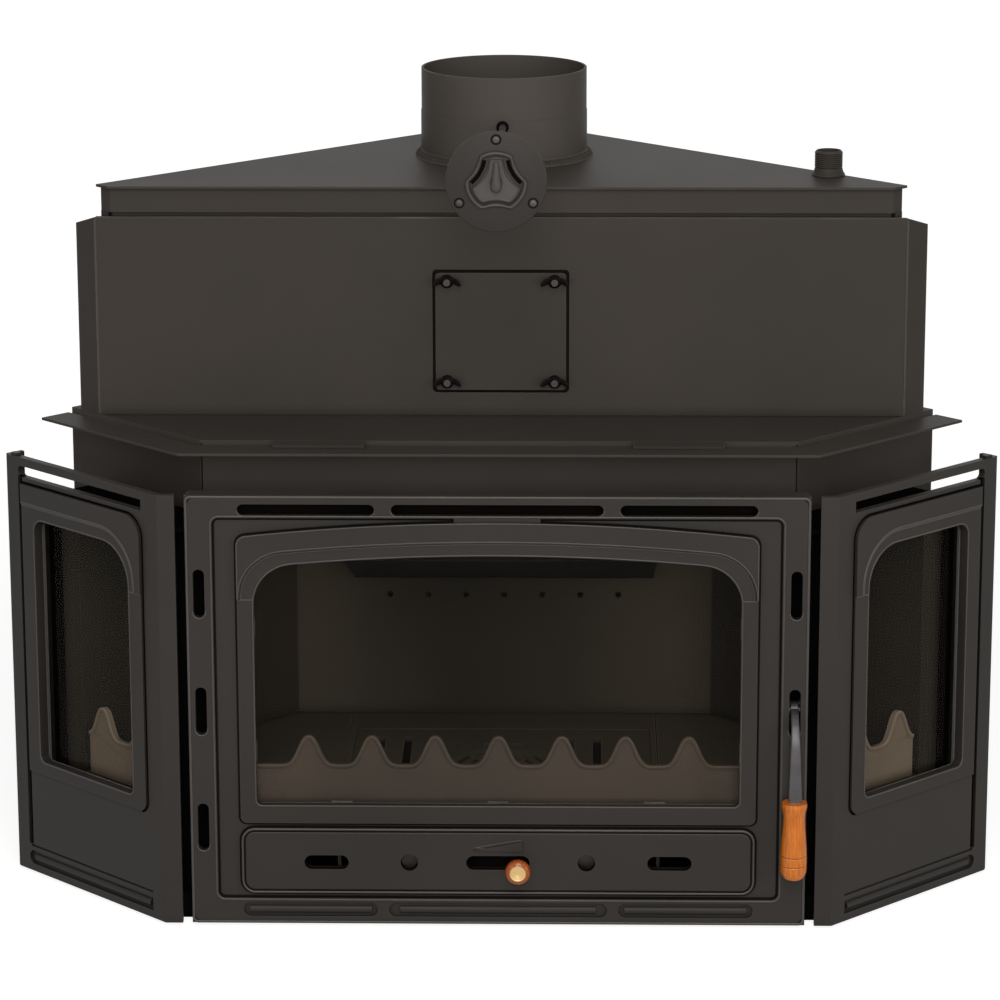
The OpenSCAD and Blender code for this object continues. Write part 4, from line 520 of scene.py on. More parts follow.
# Camera: the photograph's place, then its turns
EYE = (0.092, -4.877, 1.650)
yaw, pitch, roll = math.radians(-1.15), math.radians(14.44), math.radians(-0.11)
lens_data = bpy.data.cameras.new("camera")
lens_data.lens = 146.0
lens_data.sensor_width = 36.0
lens_data.clip_end = 50.0
camera = bpy.data.objects.new("camera", lens_data)
scene.collection.objects.link(camera)
forward = np.array([math.sin(yaw) * math.cos(pitch), math.cos(yaw) * math.cos(pitch), -math.sin(pitch)])
level = np.array([math.cos(yaw), -math.sin(yaw), 0.0])
rise = np.cross(level, forward)
right = math.cos(roll) * level + math.sin(roll) * rise
up = -math.sin(roll) * level + math.cos(roll) * rise
camera.matrix_world = Matrix([[right[i], up[i], -forward[i], EYE[i]] for i in range(3)] + [[0, 0, 0, 1]])
scene.camera = camera
scene.view_settings.view_transform = "Standard"


def seen_rays(tree):
    """One where a ray comes from the camera, from a gloss or through glass."""
    rays = add(tree, "ShaderNodeLightPath")
    first = add(tree, "ShaderNodeMath", links={0: rays.outputs["Is Camera Ray"],
                                              1: rays.outputs["Is Glossy Ray"]}, operation="MAXIMUM")
    both = add(tree, "ShaderNodeMath", links={0: first.outputs[0],
                                             1: rays.outputs["Is Transmission Ray"]}, operation="MAXIMUM")
    return both.outputs[0]


# Studio: a white surround that lights weakly, four soft boxes and a paper floor
world = bpy.data.worlds.new("studio")
scene.world = world
world.use_nodes = True
sky = world.node_tree
sky.nodes.clear()
soft = add(sky, "ShaderNodeBackground", {"Color": (1, 1, 1, 1), "Strength": 0.06})
white = add(sky, "ShaderNodeBackground", {"Color": (1, 1, 1, 1), "Strength": 1.0})
chosen = add(sky, "ShaderNodeMixShader",
             links={0: seen_rays(sky), 1: soft.outputs[0], 2: white.outputs[0]})
add(sky, "ShaderNodeOutputWorld", links={0: chosen.outputs[0]})


def lamp(name, at, aim, size, watts):
    """A soft box: an area lamp of a width and height that looks at a point."""
    data = bpy.data.lights.new(name, "AREA")
    data.shape = "RECTANGLE"
    data.energy = watts
    data.size, data.size_y = size
    box = bpy.data.objects.new(name, data)
    scene.collection.objects.link(box)
    away = np.asarray(at, float) - np.asarray(aim, float)
    away /= np.linalg.norm(away)
    side = np.cross([0, 0, 1], away)
    side /= np.linalg.norm(side)
    top = np.cross(away, side)
    box.matrix_world = Matrix([[side[i], top[i], away[i], at[i]] for i in range(3)] + [[0, 0, 0, 1]])


# Soft boxes: place, aim, width and height in metres, and watts
lamp("key soft box", (0.1, -4.3, 3.6), (0, -0.35, 0.45), (2.6, 2.6), 106)
lamp("fill soft box", (0.3, -5.7, 1.8), (0, -0.3, 0.40), (2.0, 2.0), 122)
lamp("left strip", (-2.2, -3.6, 1.0), (0, -0.4, 0.45), (0.6, 1.7), 12)
lamp("right strip", (3.2, -3.0, 1.0), (0, -0.4, 0.45), (0.8, 1.7), 34)

REACH, FLOOR_Z = 40.0, -0.0005
floor_data = bpy.data.meshes.new("floor")
floor_data.from_pydata([(x * REACH, y * REACH, FLOOR_Z) for x, y in ((-1, -1), (1, -1), (1, 1), (-1, 1))],
                       [], [(0, 1, 2, 3)])
floor = bpy.data.objects.new("floor", floor_data)
scene.collection.objects.link(floor)
paper, tree, out, place = blank("white paper floor")
matt = add(tree, "ShaderNodeBsdfDiffuse", {"Color": linear("a4a2a0")})
away = add(tree, "ShaderNodeVectorMath", links={0: place}, operation="LENGTH")
paler = add(tree, "ShaderNodeMapRange",
            {"From Min": 0.5, "From Max": 3.0, "To Min": 0.86, "To Max": 1.0},
            {"Value": away.outputs["Value"]}, interpolation_type="SMOOTHSTEP")
glow = add(tree, "ShaderNodeEmission", {"Color": (1, 1, 1, 1)}, {"Strength": paler.outputs["Result"]})
sheet = add(tree, "ShaderNodeAddShader", links={0: matt.outputs[0], 1: glow.outputs[0]})
mixed = add(tree, "ShaderNodeMixShader",
            links={0: seen_rays(tree), 1: matt.outputs[0], 2: sheet.outputs[0]})
tree.links.new(mixed.outputs[0], out.inputs[0])
floor_data.materials.append(paper)


# Slots of the door: from, to, height of the middle, half width
TOP_SLOTS = [(-120.0, 120.0, SLOT_Z, SLOT_R), (139.0, 294.0, SLOT_Z, SLOT_R),
             (-294.0, -139.0, SLOT_Z, SLOT_R)]
AIR_HOLES = [(172.0, 223.0, AIR_HOLE_Z, OBLONG_R), (-223.0, -172.0, AIR_HOLE_Z, OBLONG_R),
             (-36.5, 36.5, AIR_HOLE_Z, OBLONG_R), (92.0, 112.0, AIR_HOLE_Z, ROUND_R),
             (-112.0, -92.0, AIR_HOLE_Z, ROUND_R)]


def door_moulding(name, path, profile, material=None, closed=True, step=6):
    """Lays a moulding on the door's face: a profile carried along a path."""
    build(name, *on_door(carried(dense(path, step, closed), profile, closed)), material or HIGHLIGHT_PAINT, "door")


def door_trim():
    """Beads and lips that follow the door's reliefs in the highlight paint, and dark bands of painted shade
    in its grooves and at the feet of its steps.
    """
    door_moulding("door_hood_cove", arch(FRAME_HALF - 1.5, HOOD_FOOT, HOOD_INNER, WINDOW_R + 8),
                  cove(HOOD_RISE, 0.0), HIGHLIGHT_PAINT, False, 4)
    door_moulding("door_hood_edge", arch(FRAME_HALF - 0.8, HOOD_FOOT, HOOD_CROWN - 0.8, HOOD_R),
                  bead(1.8, 0.5, HOOD_RISE), HIGHLIGHT_PAINT, False, 4)
    door_moulding("door_border_bead", framed(BORDER, 1.8), bead(2.2, 0.7))
    window = closed_arch(WINDOW_HALF + 1, WINDOW_LOW - 1, WINDOW_CROWN + 1, WINDOW_R + 1, WINDOW_LOW_R,
                         WINDOW_LOW + WINDOW_LOW_R)
    door_moulding("door_window_lip", window, bead(1.8, 0.45), step=5)
    door_moulding("air_panel_bead", framed(AIR_PANEL, -0.9), bead(2.6, 1.1, AIR_RISE))
    # Painted shade: a dark band in the air panel's groove
    door_moulding("air_panel_groove_shade", framed(AIR_PANEL, -3.3), band(2.0, 0.3, 0.1, AIR_RISE), GROOVE_SHADE)
    door_moulding("air_panel_inner_bead", framed(AIR_PANEL, -5.6), bead(2.2, 0.6, AIR_RISE))
    # Painted shade: dark bands at the foot of the air panel's edge, along the border's recess and round the
    # window frame
    wide_shadow, line = band(2.6, 0.3, 0.1, -PANEL_SINK), band(2.2, 0.3, 0.1, -PANEL_SINK)
    door_moulding("air_panel_foot_shadow", framed(AIR_PANEL, 1.6), wide_shadow, GROOVE_SHADE)
    door_moulding("door_border_shadow", framed(BORDER, -1.5), wide_shadow, GROOVE_SHADE)
    around = closed_arch(FRAME_HALF + 1.3, FRAME_LOW - 1.3, HOOD_CROWN + 1.0, HOOD_R + 1.3, FRAME_R,
                         FRAME_LOW - 1.3 + FRAME_R)
    door_moulding("door_frame_shadow", around, line, GROOVE_SHADE, step=5)
    door_moulding("air_wedge_edge", WEDGE, bead(1.5, 0.7, AIR_RISE + 0.5, 1.0), step=4)
    door_moulding("door_outer_bead", framed(DOOR_EDGE), bead(3.0, 0.6))


def door_slots():
    """Lips of the door's slots in the highlight paint, black bands and linings of painted shade inside its
    slots and holes, and the ribs at its foot.
    """
    lips = [np.concatenate([arc(x0 + r, z, r + 0.8, 180, 270, 8), arc(x1 - r, z, r + 0.8, 270, 360, 8)])
            for x0, x1, z, r in TOP_SLOTS + AIR_HOLES]
    lips += [arc(hand * UPRIGHT_X, z - UPRIGHT_REACH, 7.3, 170, 370, 16)
             for hand in (1, -1) for z in UPRIGHT_Z]
    lips = [carried(dense(lip, 5, False), bead(1.6, 0.45), False) for lip in lips]
    build("door_slot_lips", *on_door(joined(*lips)), HIGHLIGHT_PAINT, "door")
    # Painted shade: black bands behind the top slots and black linings inside the air holes
    shade_backs = [carried(dense([[x0, z], [x1, z]], 30, False), band(12.9, 0.6, 0.1, -8.8), False)
             for x0, x1, z, r in TOP_SLOTS]
    hole_shade = [(-0.3, 0.4), (0.5, 0.4), (0.5, -5.5), (-0.3, -5.5)]
    shade_backs += [carried(np.concatenate([arc(x1 - r, z, r, -90, 90, 10), arc(x0 + r, z, r, 90, 270, 10)]),
                      hole_shade, True) for x0, x1, z, r in AIR_HOLES]
    build("door_slot_shade", *on_door(joined(*shade_backs)), SOOT_AND_SHADE, "door")
    ribs = [carried(dense([[x0 + 7, RIB_Z], [x1 - 7, RIB_Z]], 30, False), bead(9.5, 3.0, RIB_SINK), False)
            for x0, x1, z, r in TOP_SLOTS]
    build("door_foot_ribs", *on_door(joined(*ribs)), CASTING, "door")
    for hand, word in ((1, "right"), (-1, "left")):
        step = [[hand * (WINDOW_HALF + 0.5), HOOD_FOOT - 1.2], [hand * (FRAME_HALF - 0.5), HOOD_FOOT - 1.2]]
        door_moulding(f"door_hood_foot_{word}", step, bead(1.6, 0.6), HIGHLIGHT_PAINT, False, 4)


door_trim()
door_slots()


# Mouldings of the side castings
def side_moulding(name, hand, path, profile, material=None, closed=False, step=4):
    """Lays a moulding on a side casting's face: a profile carried along a path."""
    build(name, *on_side(carried(dense(path, step, closed), profile, closed), hand), material or HIGHLIGHT_PAINT,
          "insert")


def side_trim(hand, word):
    """The half hood's cove and the window's lip in the highlight paint, black bands of painted
    shadow along the pad's outline and in the slit, the rib at the foot and the step at the hood's foot."""
    hood = np.concatenate([[[PAD_TO - 0.5, HOOD_INNER]], [[SIDE_HOOD_FROM + SIDE_HOOD_R + 4, HOOD_INNER]],
                           arc(SIDE_HOOD_FROM + SIDE_HOOD_R, HOOD_INNER - SIDE_HOOD_R, SIDE_HOOD_R,
                               90, 180, 18),
                           [[SIDE_HOOD_FROM, HOOD_FOOT]]])
    side_moulding(f"side_hood_cove_{word}", hand, hood, cove(SIDE_HOOD_RISE, PAD_RISE))
    s0, s1, low, high = SIDE_WIN
    window = np.concatenate([arc(s1 - FAR_R, high - FAR_R, FAR_R + 1, 0, 90, 9),
                             arc(s0 + WINDOW_R, high - WINDOW_R, WINDOW_R + 1, 90, 180, 14),
                             arc(s0 + SIDE_LOW_R, low + SIDE_LOW_R, SIDE_LOW_R + 1, 180, 270, 7),
                             arc(s1 - SIDE_LOW_R, low + SIDE_LOW_R, SIDE_LOW_R + 1, 270, 360, 7)])
    side_moulding(f"side_window_lip_{word}", hand, window, bead(2.0, 0.5, PAD_RISE), HIGHLIGHT_PAINT, True, 5)
    pad = np.concatenate([[[PAD_TO, HOOD_CROWN]],
                          arc(PAD_FROM + PAD_R, HOOD_CROWN - PAD_R, PAD_R, 90, 180, 12),
                          arc(PAD_FROM + PAD_LOW_R, PAD_LOW + PAD_LOW_R, PAD_LOW_R, 180, 262, 8)])
    # Painted shadow: a black band round the pad's near side and top, and another in the slit
    shadow_band = [(-2.6, -0.3), (-2.6, 0.12), (0.3, 0.12), (0.3, -0.3)]
    slit = dense([[SIDE_SLIT, SIDE_SLIT_LOW], [SIDE_SLIT, SIDE_SLIT_HIGH]], 20, False)
    lines = [carried(dense(pad, 5, False), shadow_band, False), carried(slit, band(7.8, 0.4, 0.1, -4.8), False)]
    build(f"side_shadow_lines_{word}", *on_side(joined(*lines), hand), SOOT_AND_SHADE, "insert")
    side_moulding(f"side_foot_rib_{word}", hand, [[SIDE_RIB_FROM, RIB_Z], [PAD_TO, RIB_Z]],
                  bead(9.5, 3.0, RIB_SINK), CASTING, step=30)
    step = [[s0 - 0.5, HOOD_FOOT - 1.2], [SIDE_HOOD_FROM - 10.5, HOOD_FOOT - 1.2]]
    side_moulding(f"side_hood_foot_{word}", hand, step, bead(1.6, 0.6, PAD_RISE))


side_trim(1, "right")
side_trim(-1, "left")


# Log guards
def wave(x, centre, first, last):
    """Height of a guard's edge: with s = 0.5 + 0.5 cos and p = s^1.9 a hump rises as the
    mean of s^2 and p^2 (3 - 2 p): a blunt top, steep sides and a wide round trough."""
    s = 0.5 + 0.5 * np.cos(2 * np.pi * (x - centre) / GUARD_PITCH)
    p = s ** 1.9
    inside = (x > first - GUARD_PITCH / 2) & (x < last + GUARD_PITCH / 2)
    return GUARD_TROUGH + np.where(inside, GUARD_HUMP * (s * s + p * p * (3 - 2 * p)) / 2, 0.0)


RIM = [(0.2, -0.5), (0.2, 0.9), (-0.5, 1.5), (-3.4, 1.5), (-4.2, 0.9), (-4.4, -0.5)]
SECTION = [(0.8, 0.0), (0.0, 0.9), (0.0, 6.2), (0.8, 7.0)]


def guard(start, end, count, centre, first, last):
    """A guard's plate between two stations: its outline is drawn in by the section's inset
    at each depth of the plate, with the foot behind it."""
    s = np.linspace(start, end, count)
    base = HEARTH_Z - CASTING_LIFT
    rings = []
    for inset, depth in SECTION:
        t = start + (s - start) * (end - start - 2 * inset) / (end - start) + inset
        top = base + wave(s, centre, first, last) - inset
        outline = np.concatenate([np.stack([t, top], -1), [[t[-1], base], [t[0], base]]])
        rings.append(np.concatenate([outline, np.full((len(outline), 1), -GUARD_DEPTH - depth)], 1))
    verts = np.stack(rings).reshape(-1, 3)
    n = len(outline)
    faces = capped(len(SECTION), n)
    foot = np.array([[x, z, -GUARD_DEPTH - 7 - y] for x in (start, end) for z in (base, base + 6)
                     for y in (0.0, 2.0)])
    sides = [[0, 1, 3, 2], [4, 5, 7, 6], [0, 1, 5, 4], [2, 3, 7, 6], [0, 2, 6, 4], [1, 3, 7, 5]]
    edge = np.stack([s[::-1], base + wave(s[::-1], centre, first, last)], -1)
    rim = [(-offset, height - GUARD_DEPTH) for offset, height in RIM]
    return joined((verts, faces), (foot, sides)), carried(edge, rim, False)


plate, rim = guard(-GUARD_HALF, GUARD_HALF, 420, 0, -3 * GUARD_PITCH, 3 * GUARD_PITCH)
build("front_guard", *on_door(plate), GUARD, "insert", ["front_log_guard"])
build("front_guard_rim", *on_door(rim), GUARD, "insert")
plate, rim = guard(SIDE_GUARD_FROM, SIDE_GUARD_TO, 120, SIDE_GUARD_PEAK, SIDE_GUARD_PEAK - GUARD_PITCH,
                   SIDE_GUARD_PEAK)
build("side_guards", *joined(on_side(plate, 1), on_side(plate, -1)), GUARD_SIDE, "insert",
      ["side_log_guards"])
build("side_guard_rims", *joined(on_side(rim, 1), on_side(rim, -1)), GUARD_SIDE, "insert")


# Black linings in the air jets of the rear lining: soot, and painted shade in the holes
LINING_FACE, JET_Z, JET_PITCH = -45.0, 285.0, 47.0
mouth = [(0.0, 3.0), (3.1, 3.0), (3.2, 0.0), (3.5, -0.2), (4.0, -0.2), (4.0, 0.2), (3.4, 0.3), (3.4, 3.4),
         (0.0, 3.4)]
jets = [lathe(mouth, (JET_PITCH * i, LINING_FACE, JET_Z), "y", 24) for i in range(-3, 4)]
build("air_jet_shade", *joined(*jets), SOOT_AND_SHADE, "insert")


def upright_strips(x, y, low, high, width, thick):
    """A pair of flat strips that stand on end at both hands: a rounded section of a width
    across and a thickness towards the front, raised from one height to another."""
    return joined(*[prism(rounded(hand * x - width / 2, hand * x + width / 2, y - thick, y,
                                  min(width, thick) * 0.3, 4), low, high) for hand in (1, -1)])


# Dark joints, and black strips of painted shade at the feet of the gaps: distance from the middle, front,
# low, high, width and thickness
LINING_JOINT = (259.6, -44.6, 133.0, 551.0, 3.2, 1.0)
HEADER_SEAM = (341.8, -354.8, 469.5, 551.5, 1.6, 0.5)
GAP_FOOT_SHADE = (373.0, -422.0, 0.0, 24.0, 50.0, 3.0)
build("lining_joints", *upright_strips(*LINING_JOINT), SOOT_AND_SHADE, "insert")

# Cheeks that close the step between the top box and the boiler's front
BOX_STEP_LOW, BOX_STEP_HIGH = 781.0, 797.2
cheek = np.array([(459.2, -220.2), (467.4, -212.0), (465.2, -209.6), (457.0, -217.8)])
cheeks = [prism(cheek * [hand, 1], BOX_STEP_LOW, BOX_STEP_HIGH) for hand in (1, -1)]
build("top_box_cheeks", *joined(*cheeks), BOILER, "insert")
build("header_seams", *upright_strips(*HEADER_SEAM), GROOVE_SHADE, "insert")
build("gap_foot_shade", *upright_strips(*GAP_FOOT_SHADE), SOOT_AND_SHADE, "insert")


# Seals
def rope_seal():
    """Braided rope in the door's rim: a circle of radius R carried round a rectangle, with
    R swelling by cos(3 t + k s) cos(3 t - k s), where s is the way along the rope."""
    path = dense(framed(ROPE_LOOP), 2.4, True)
    way = np.concatenate([[0], np.cumsum(np.linalg.norm(np.diff(path, axis=0), axis=1))])
    t = np.linspace(0, 2 * np.pi, 24, endpoint=False)[None]
    lay = 2 * np.pi * way[:, None] / 14.0
    r = ROPE_R - 0.5 + 0.5 * np.abs(np.cos(3 * t + lay) * np.cos(3 * t - lay))
    flat = path[:, None] + left_normals(path, True)[:, None] * (r * np.cos(t))[..., None]
    verts = np.concatenate([flat, (r * np.sin(t) - ROPE_DEPTH)[..., None]], -1).reshape(-1, 3)
    return verts, grid(len(path), 24, True, True)


build("rope_round_door", *on_door(rope_seal()), ROPE, "door", ["door_rope_seal"])
lap = GLASS_LAP / 2
tape = dense(rounded(-WINDOW_HALF - lap, WINDOW_HALF + lap, WINDOW_LOW - lap, WINDOW_CROWN + lap, 6.0),
             6, True)
build("tape_under_door_glass", *on_door(carried(tape, band(7.4, 2.8, 0.8, -TAPE_DEPTH - 1.4), True)),
      TAPE, "door", ["door_glass_seal"])
s0, s1, low, high = SIDE_WIN
tape = dense(rounded(s0 - lap, s1 + 1.0, low - lap, high + lap, 6.0), 6, True)
sides = [on_side(carried(tape, band(7.0, 2.8, 0.8, -TAPE_DEPTH - 1.4), True), hand) for hand in (1, -1)]
build("tape_under_side_glasses", *joined(*sides), TAPE, "insert", ["side_glass_seals"])

# Hatch: its frame's face, its middle, the studs' distances from it, and the cover's face
HATCH_FACE, HATCH_Z, HATCH_DX, HATCH_DZ, COVER_RISE = -220.0, 656.0, 63.0, 60.0, 7.0


def on_hatch(shape):
    """(across, height, rise) over the hatch frame's face to the part's frame."""
    p, faces = shape
    return np.stack([p[:, 0], HATCH_FACE - p[:, 2], p[:, 1] + HATCH_Z], -1), faces


gasket = dense(rounded(-62.5, 62.5, -56.5, 56.5, 4.0), 6, True)
build("gasket_under_hatch", *on_hatch(carried(gasket, band(20.0, 1.9, 0.7, 0.05), True)),
      TAPE, "insert", ["hatch_gasket"])


# Wing nuts of the hatch
def wing(hand):
    """One wing: an ellipse of half width w and half thickness t carried outwards along
    x = 4 + 12 u while it bends down by 4 u^2 and rises by 8 u^1.3, w closing at the tip."""
    u = np.linspace(0, 1, 12)[:, None]
    a = np.linspace(0, 2 * np.pi, 12, endpoint=False)[None]
    shut = np.sqrt(np.clip(1 - ((u - 0.55) / 0.47).clip(0, 1) ** 2, 0.0004, 1))
    width = (3.0 + 1.2 * u) * shut
    thick = (1.9 - 0.5 * u) * np.sqrt(shut)
    across = hand * (4 + 12.2 * u - thick * np.cos(a) * 0.5)
    out = 2.0 + 8.0 * u ** 1.3 + thick * np.cos(a) * 0.85
    verts = np.stack([across, 1.5 - 4.0 * u ** 2 + width * np.sin(a), out], -1).reshape(-1, 3)
    return verts, capped(12, 12)


def wing_nut(x, z):
    """A nut's hub with its two wings, on the cover's face at a stud."""
    hub = [(4.1, 0), (7.6, 0), (8.0, 0.6), (7.8, 1.6), (6.6, 4.4), (6.0, 5.2), (4.6, 5.4), (4.1, 5.0)]
    verts, faces = joined(lathe(hub, (0, 0, 0), "z", 28, True), wing(1), wing(-1))
    return on_hatch((verts + [x, z, COVER_RISE], faces))


# The nuts take the dark groove paint: their dark tone is painted shade
for i, (right_of, above) in enumerate([(-1, 1), (1, 1), (-1, -1), (1, -1)]):
    build(f"wing_nut_{i + 1}", *wing_nut(right_of * HATCH_DX, above * HATCH_DZ), GROOVE_SHADE, "insert",
          ["hatch_wing_nuts"])


# Threaded nipples with their welded feet
def nipple(at, axis, height=30.0):
    """Pipe end: the wall's outside steps between crest and root every half pitch, the
    inside is the plain bore, and the foot spreads into a weld."""
    bore, crest, root, pitch, start = 13.2, 16.6, 15.5, 2.3, 10.0
    turns = int((height - 1.5 - start) / pitch)
    teeth = []
    for i in range(turns):
        low_end = start + i * pitch
        teeth += [(root, low_end), (crest, low_end + 0.9), (crest, low_end + 1.4)]
    outside = [(19.4, 0.0), (19.8, 0.8), (19.0, 2.6), (17.6, 4.6), (16.8, 6.8), (crest, 8.6)]
    mouth = [(root, height - 1.2), (root - 0.8, height - 0.2), (bore + 0.6, height), (bore, height - 0.6)]
    profile = [(bore, 0.0)] + outside + teeth + mouth
    return lathe(profile, at, axis, 56, True)


SUPPLY_FOOT, RETURN_FOOT = (385.0, -145.0, TOP_PLATE_Z), (80.0, 175.0, 84.0)
build("supply_pipe_end", *nipple(SUPPLY_FOOT, "z"), BOILER, "insert", ["supply_nipple"])
build("return_pipe_end", *nipple(RETURN_FOOT, "y"), BOILER, "insert", ["return_nipple"])


# Welds
def weld_ring(at, radius, width, high, pitch=4.0):
    """Fillet weld round a pipe: a quarter round whose rise ripples once per pitch."""
    steps = int(2 * math.pi * radius / (pitch / 3))
    a = np.linspace(0, 2 * np.pi, steps, endpoint=False)[:, None]
    ripple = 1 + 0.10 * np.cos(a * round(2 * math.pi * radius / pitch))
    t = np.linspace(0, np.pi / 2, 6)[None]
    r = np.concatenate([radius - 1 + 0 * a, radius + width * ripple * np.cos(t), radius - 1 + 0 * a], 1)
    z = np.concatenate([0 * a - 0.5, high * ripple * np.sin(t), high + 0 * a], 1)
    verts = np.stack([r * np.cos(a), r * np.sin(a), z], -1).reshape(-1, 3) + np.asarray(at, float)
    return verts, grid(steps, r.shape[1], True, True)


def weld_line(start, end, radius, pitch=4.5, seed=3):
    """Weld along an edge: an eight-sided tube of a radius that ripples once per pitch and
    wanders a little, seeded so that it is the same each time."""
    start, end = np.asarray(start, float), np.asarray(end, float)
    length = np.linalg.norm(end - start)
    n = int(length / (pitch / 4)) + 1
    s = np.linspace(0, 1, n)[:, None]
    rng = np.random.default_rng(seed)
    wander = np.interp(s[:, 0], np.linspace(0, 1, 24), rng.normal(0, 0.10, 24))[:, None]
    r = radius * (1 + 0.10 * np.cos(2 * np.pi * s * length / pitch) + wander)
    along = (end - start) / length
    side = np.cross(along, [0.3, 0.5, 0.81])
    side /= np.linalg.norm(side)
    over = np.cross(along, side)
    t = np.linspace(0, 2 * np.pi, 8, endpoint=False)[None]
    centre = start + (end - start) * s
    verts = centre[:, None] + r[..., None] * (np.cos(t)[..., None] * side + np.sin(t)[..., None] * over)
    return verts.reshape(-1, 3), capped(n, 8)


build("flue_weld", *weld_ring((0, 0, TOP_PLATE_Z), 101.0, 6.0, 6.5), BOILER, "insert")
FRONT_HALF, FRONT_Y, FRONT_LOW, FRONT_HIGH = 474.0, -225.0, 555.0, 791.0
welds = [weld_line((-FRONT_HALF + 2, FRONT_Y + 1.6, FRONT_HIGH - 0.6),
                   (FRONT_HALF - 2, FRONT_Y + 1.6, FRONT_HIGH - 0.6), 1.5)]
for hand in (1, -1):
    x = hand * (FRONT_HALF - 0.4)
    welds.append(weld_line((x, FRONT_Y + 0.9, FRONT_LOW + 2), (x, FRONT_Y + 0.9, FRONT_HIGH - 3), 1.5,
                           seed=5 + hand))
# The welds take the highlight paint: lighter as a painted highlight
build("boiler_front_welds", *joined(*welds), HIGHLIGHT_PAINT, "insert")

# Rosette plate of the damper: its face, its screws' circle, and the trefoil's circles
ROSETTE_FACE, ROSETTE_BOLTS = -475.0, 47.0
LOBE_R, HOLLOW_D, HOLLOW_R = 34.5, 61.5, 34.0
PIPE_R = 100.6
rod_z = (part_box("damper_rod")[0].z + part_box("damper_rod")[1].z) / 2 / MM


def rod_hole_shade():
    """A black ring of painted shade round the damper rod's hole: a ring of a 4.4 mm to 7.6 mm
    radius laid on the pipe, whose face stands at y = -sqrt(R^2 - x^2)."""
    a = np.linspace(0, 2 * np.pi, 40, endpoint=False)[:, None]
    r = np.array([[4.4, 7.4, 7.6, 7.2, 4.4]])
    lift = np.array([[0.35, 0.35, 0.1, -0.6, -0.6]])
    x = r * np.cos(a)
    verts = np.stack([x, -np.sqrt(PIPE_R ** 2 - x ** 2) - lift, rod_z + r * np.sin(a)], -1)
    return verts.reshape(-1, 3), grid(40, 5, True, True)


build("damper_rod_shade", *rod_hole_shade(), SOOT_AND_SHADE, "insert")


def on_rosette(shape):
    """(across, height, rise) over the rosette plate's face to the part's frame."""
    p, faces = shape
    return np.stack([p[:, 0], ROSETTE_FACE - p[:, 2], p[:, 1] + rod_z], -1), faces


def trefoil(angle, inset, upper=0.0):
    """Radius of the three-lobed outline drawn in by an inset: the least of the lobes'
    circle and of the three hollow circles, blended over 2 mm. The two upper hollows are
    drawn in by a further amount."""
    reach = [np.full_like(angle, LOBE_R - inset)]
    for axis, more in ((30, upper), (150, upper), (270, 0.0)):
        turn = (angle - math.radians(axis) + np.pi) % (2 * np.pi) - np.pi
        r = HOLLOW_R + inset + more
        under = r * r - (HOLLOW_D * np.sin(turn)) ** 2
        hit = HOLLOW_D * np.cos(turn) - np.sqrt(np.clip(under, 0, None))
        reach.append(np.where((under > 0) & (np.abs(turn) < 1.2), hit, 99.0))
    return -1.2 * np.log(np.exp(-np.stack(reach) / 1.2).sum(0))


def rosette():
    """The round plate with its bore, the trefoil's rounded rim and the plate inside it."""
    edge = [(4.1, 0.0), (4.1, 1.0), (8.5, 1.0), (9.0, 0.0), (54.6, 0.0), (55.6, -0.4), (56.0, -1.3),
            (56.0, -3.4), (55.4, -4.0), (9.0, -4.0), (9.0, -8.0), (4.1, -8.0)]
    disc, faces = lathe(edge, (0, 0, 0), "z", 128, True)
    a = np.linspace(0, 2 * np.pi, 240, endpoint=False)
    middle = trefoil(a, 2.3)[:, None]
    t = np.linspace(0, np.pi, 9)[None]
    r = np.concatenate([middle + 2.7, middle + 2.6 * np.cos(t), middle - 2.7], 1)
    z = np.concatenate([0 * middle - 0.4, 0.3 + 3.4 * np.sin(t) + 0 * middle, 0 * middle - 0.4], 1)
    rim = np.stack([r * np.cos(a)[:, None], r * np.sin(a)[:, None], z], -1).reshape(-1, 3)
    inner = trefoil(a, 6.8, 5.2)[:, None]
    r = np.concatenate([0 * inner + 6.6, 0 * inner + 6.6, inner - 2.6, inner - 1.4, inner, inner], 1)
    z = np.array([[0.2, 1.25, 1.25, 2.3, 1.4, -0.4]]) + 0 * inner
    plate = np.stack([r * np.cos(a)[:, None], r * np.sin(a)[:, None], z], -1).reshape(-1, 3)
    badge = joined((rim, grid(240, 11, True, True)), (plate, grid(240, 6, True, True)))
    return (disc, faces), badge


disc, badge = rosette()
build("rosette", *on_rosette(disc), CASTING, "insert", ["rosette_plate"])
# The badge takes the highlight paint: lighter as a painted highlight
build("rosette_badge", *on_rosette(badge), HIGHLIGHT_PAINT, "insert")
# Painted shadow: black arcs in the two upper hollows between the badge's plate and its rim
hollow_shade = []
for axis in (30, 150):
    turn = np.radians(axis + 180 + np.linspace(-21, 21, 30))
    centre = HOLLOW_D * np.array([math.cos(math.radians(axis)), math.sin(math.radians(axis))])
    path = centre + (HOLLOW_R + 7.0) * np.stack([np.cos(turn), np.sin(turn)], -1)
    hollow_shade.append(carried(path, band(4.2, 0.5, 0.2, -0.3), False))
build("rosette_hollow_shade", *on_rosette(joined(*hollow_shade)), SOOT_AND_SHADE, "insert")


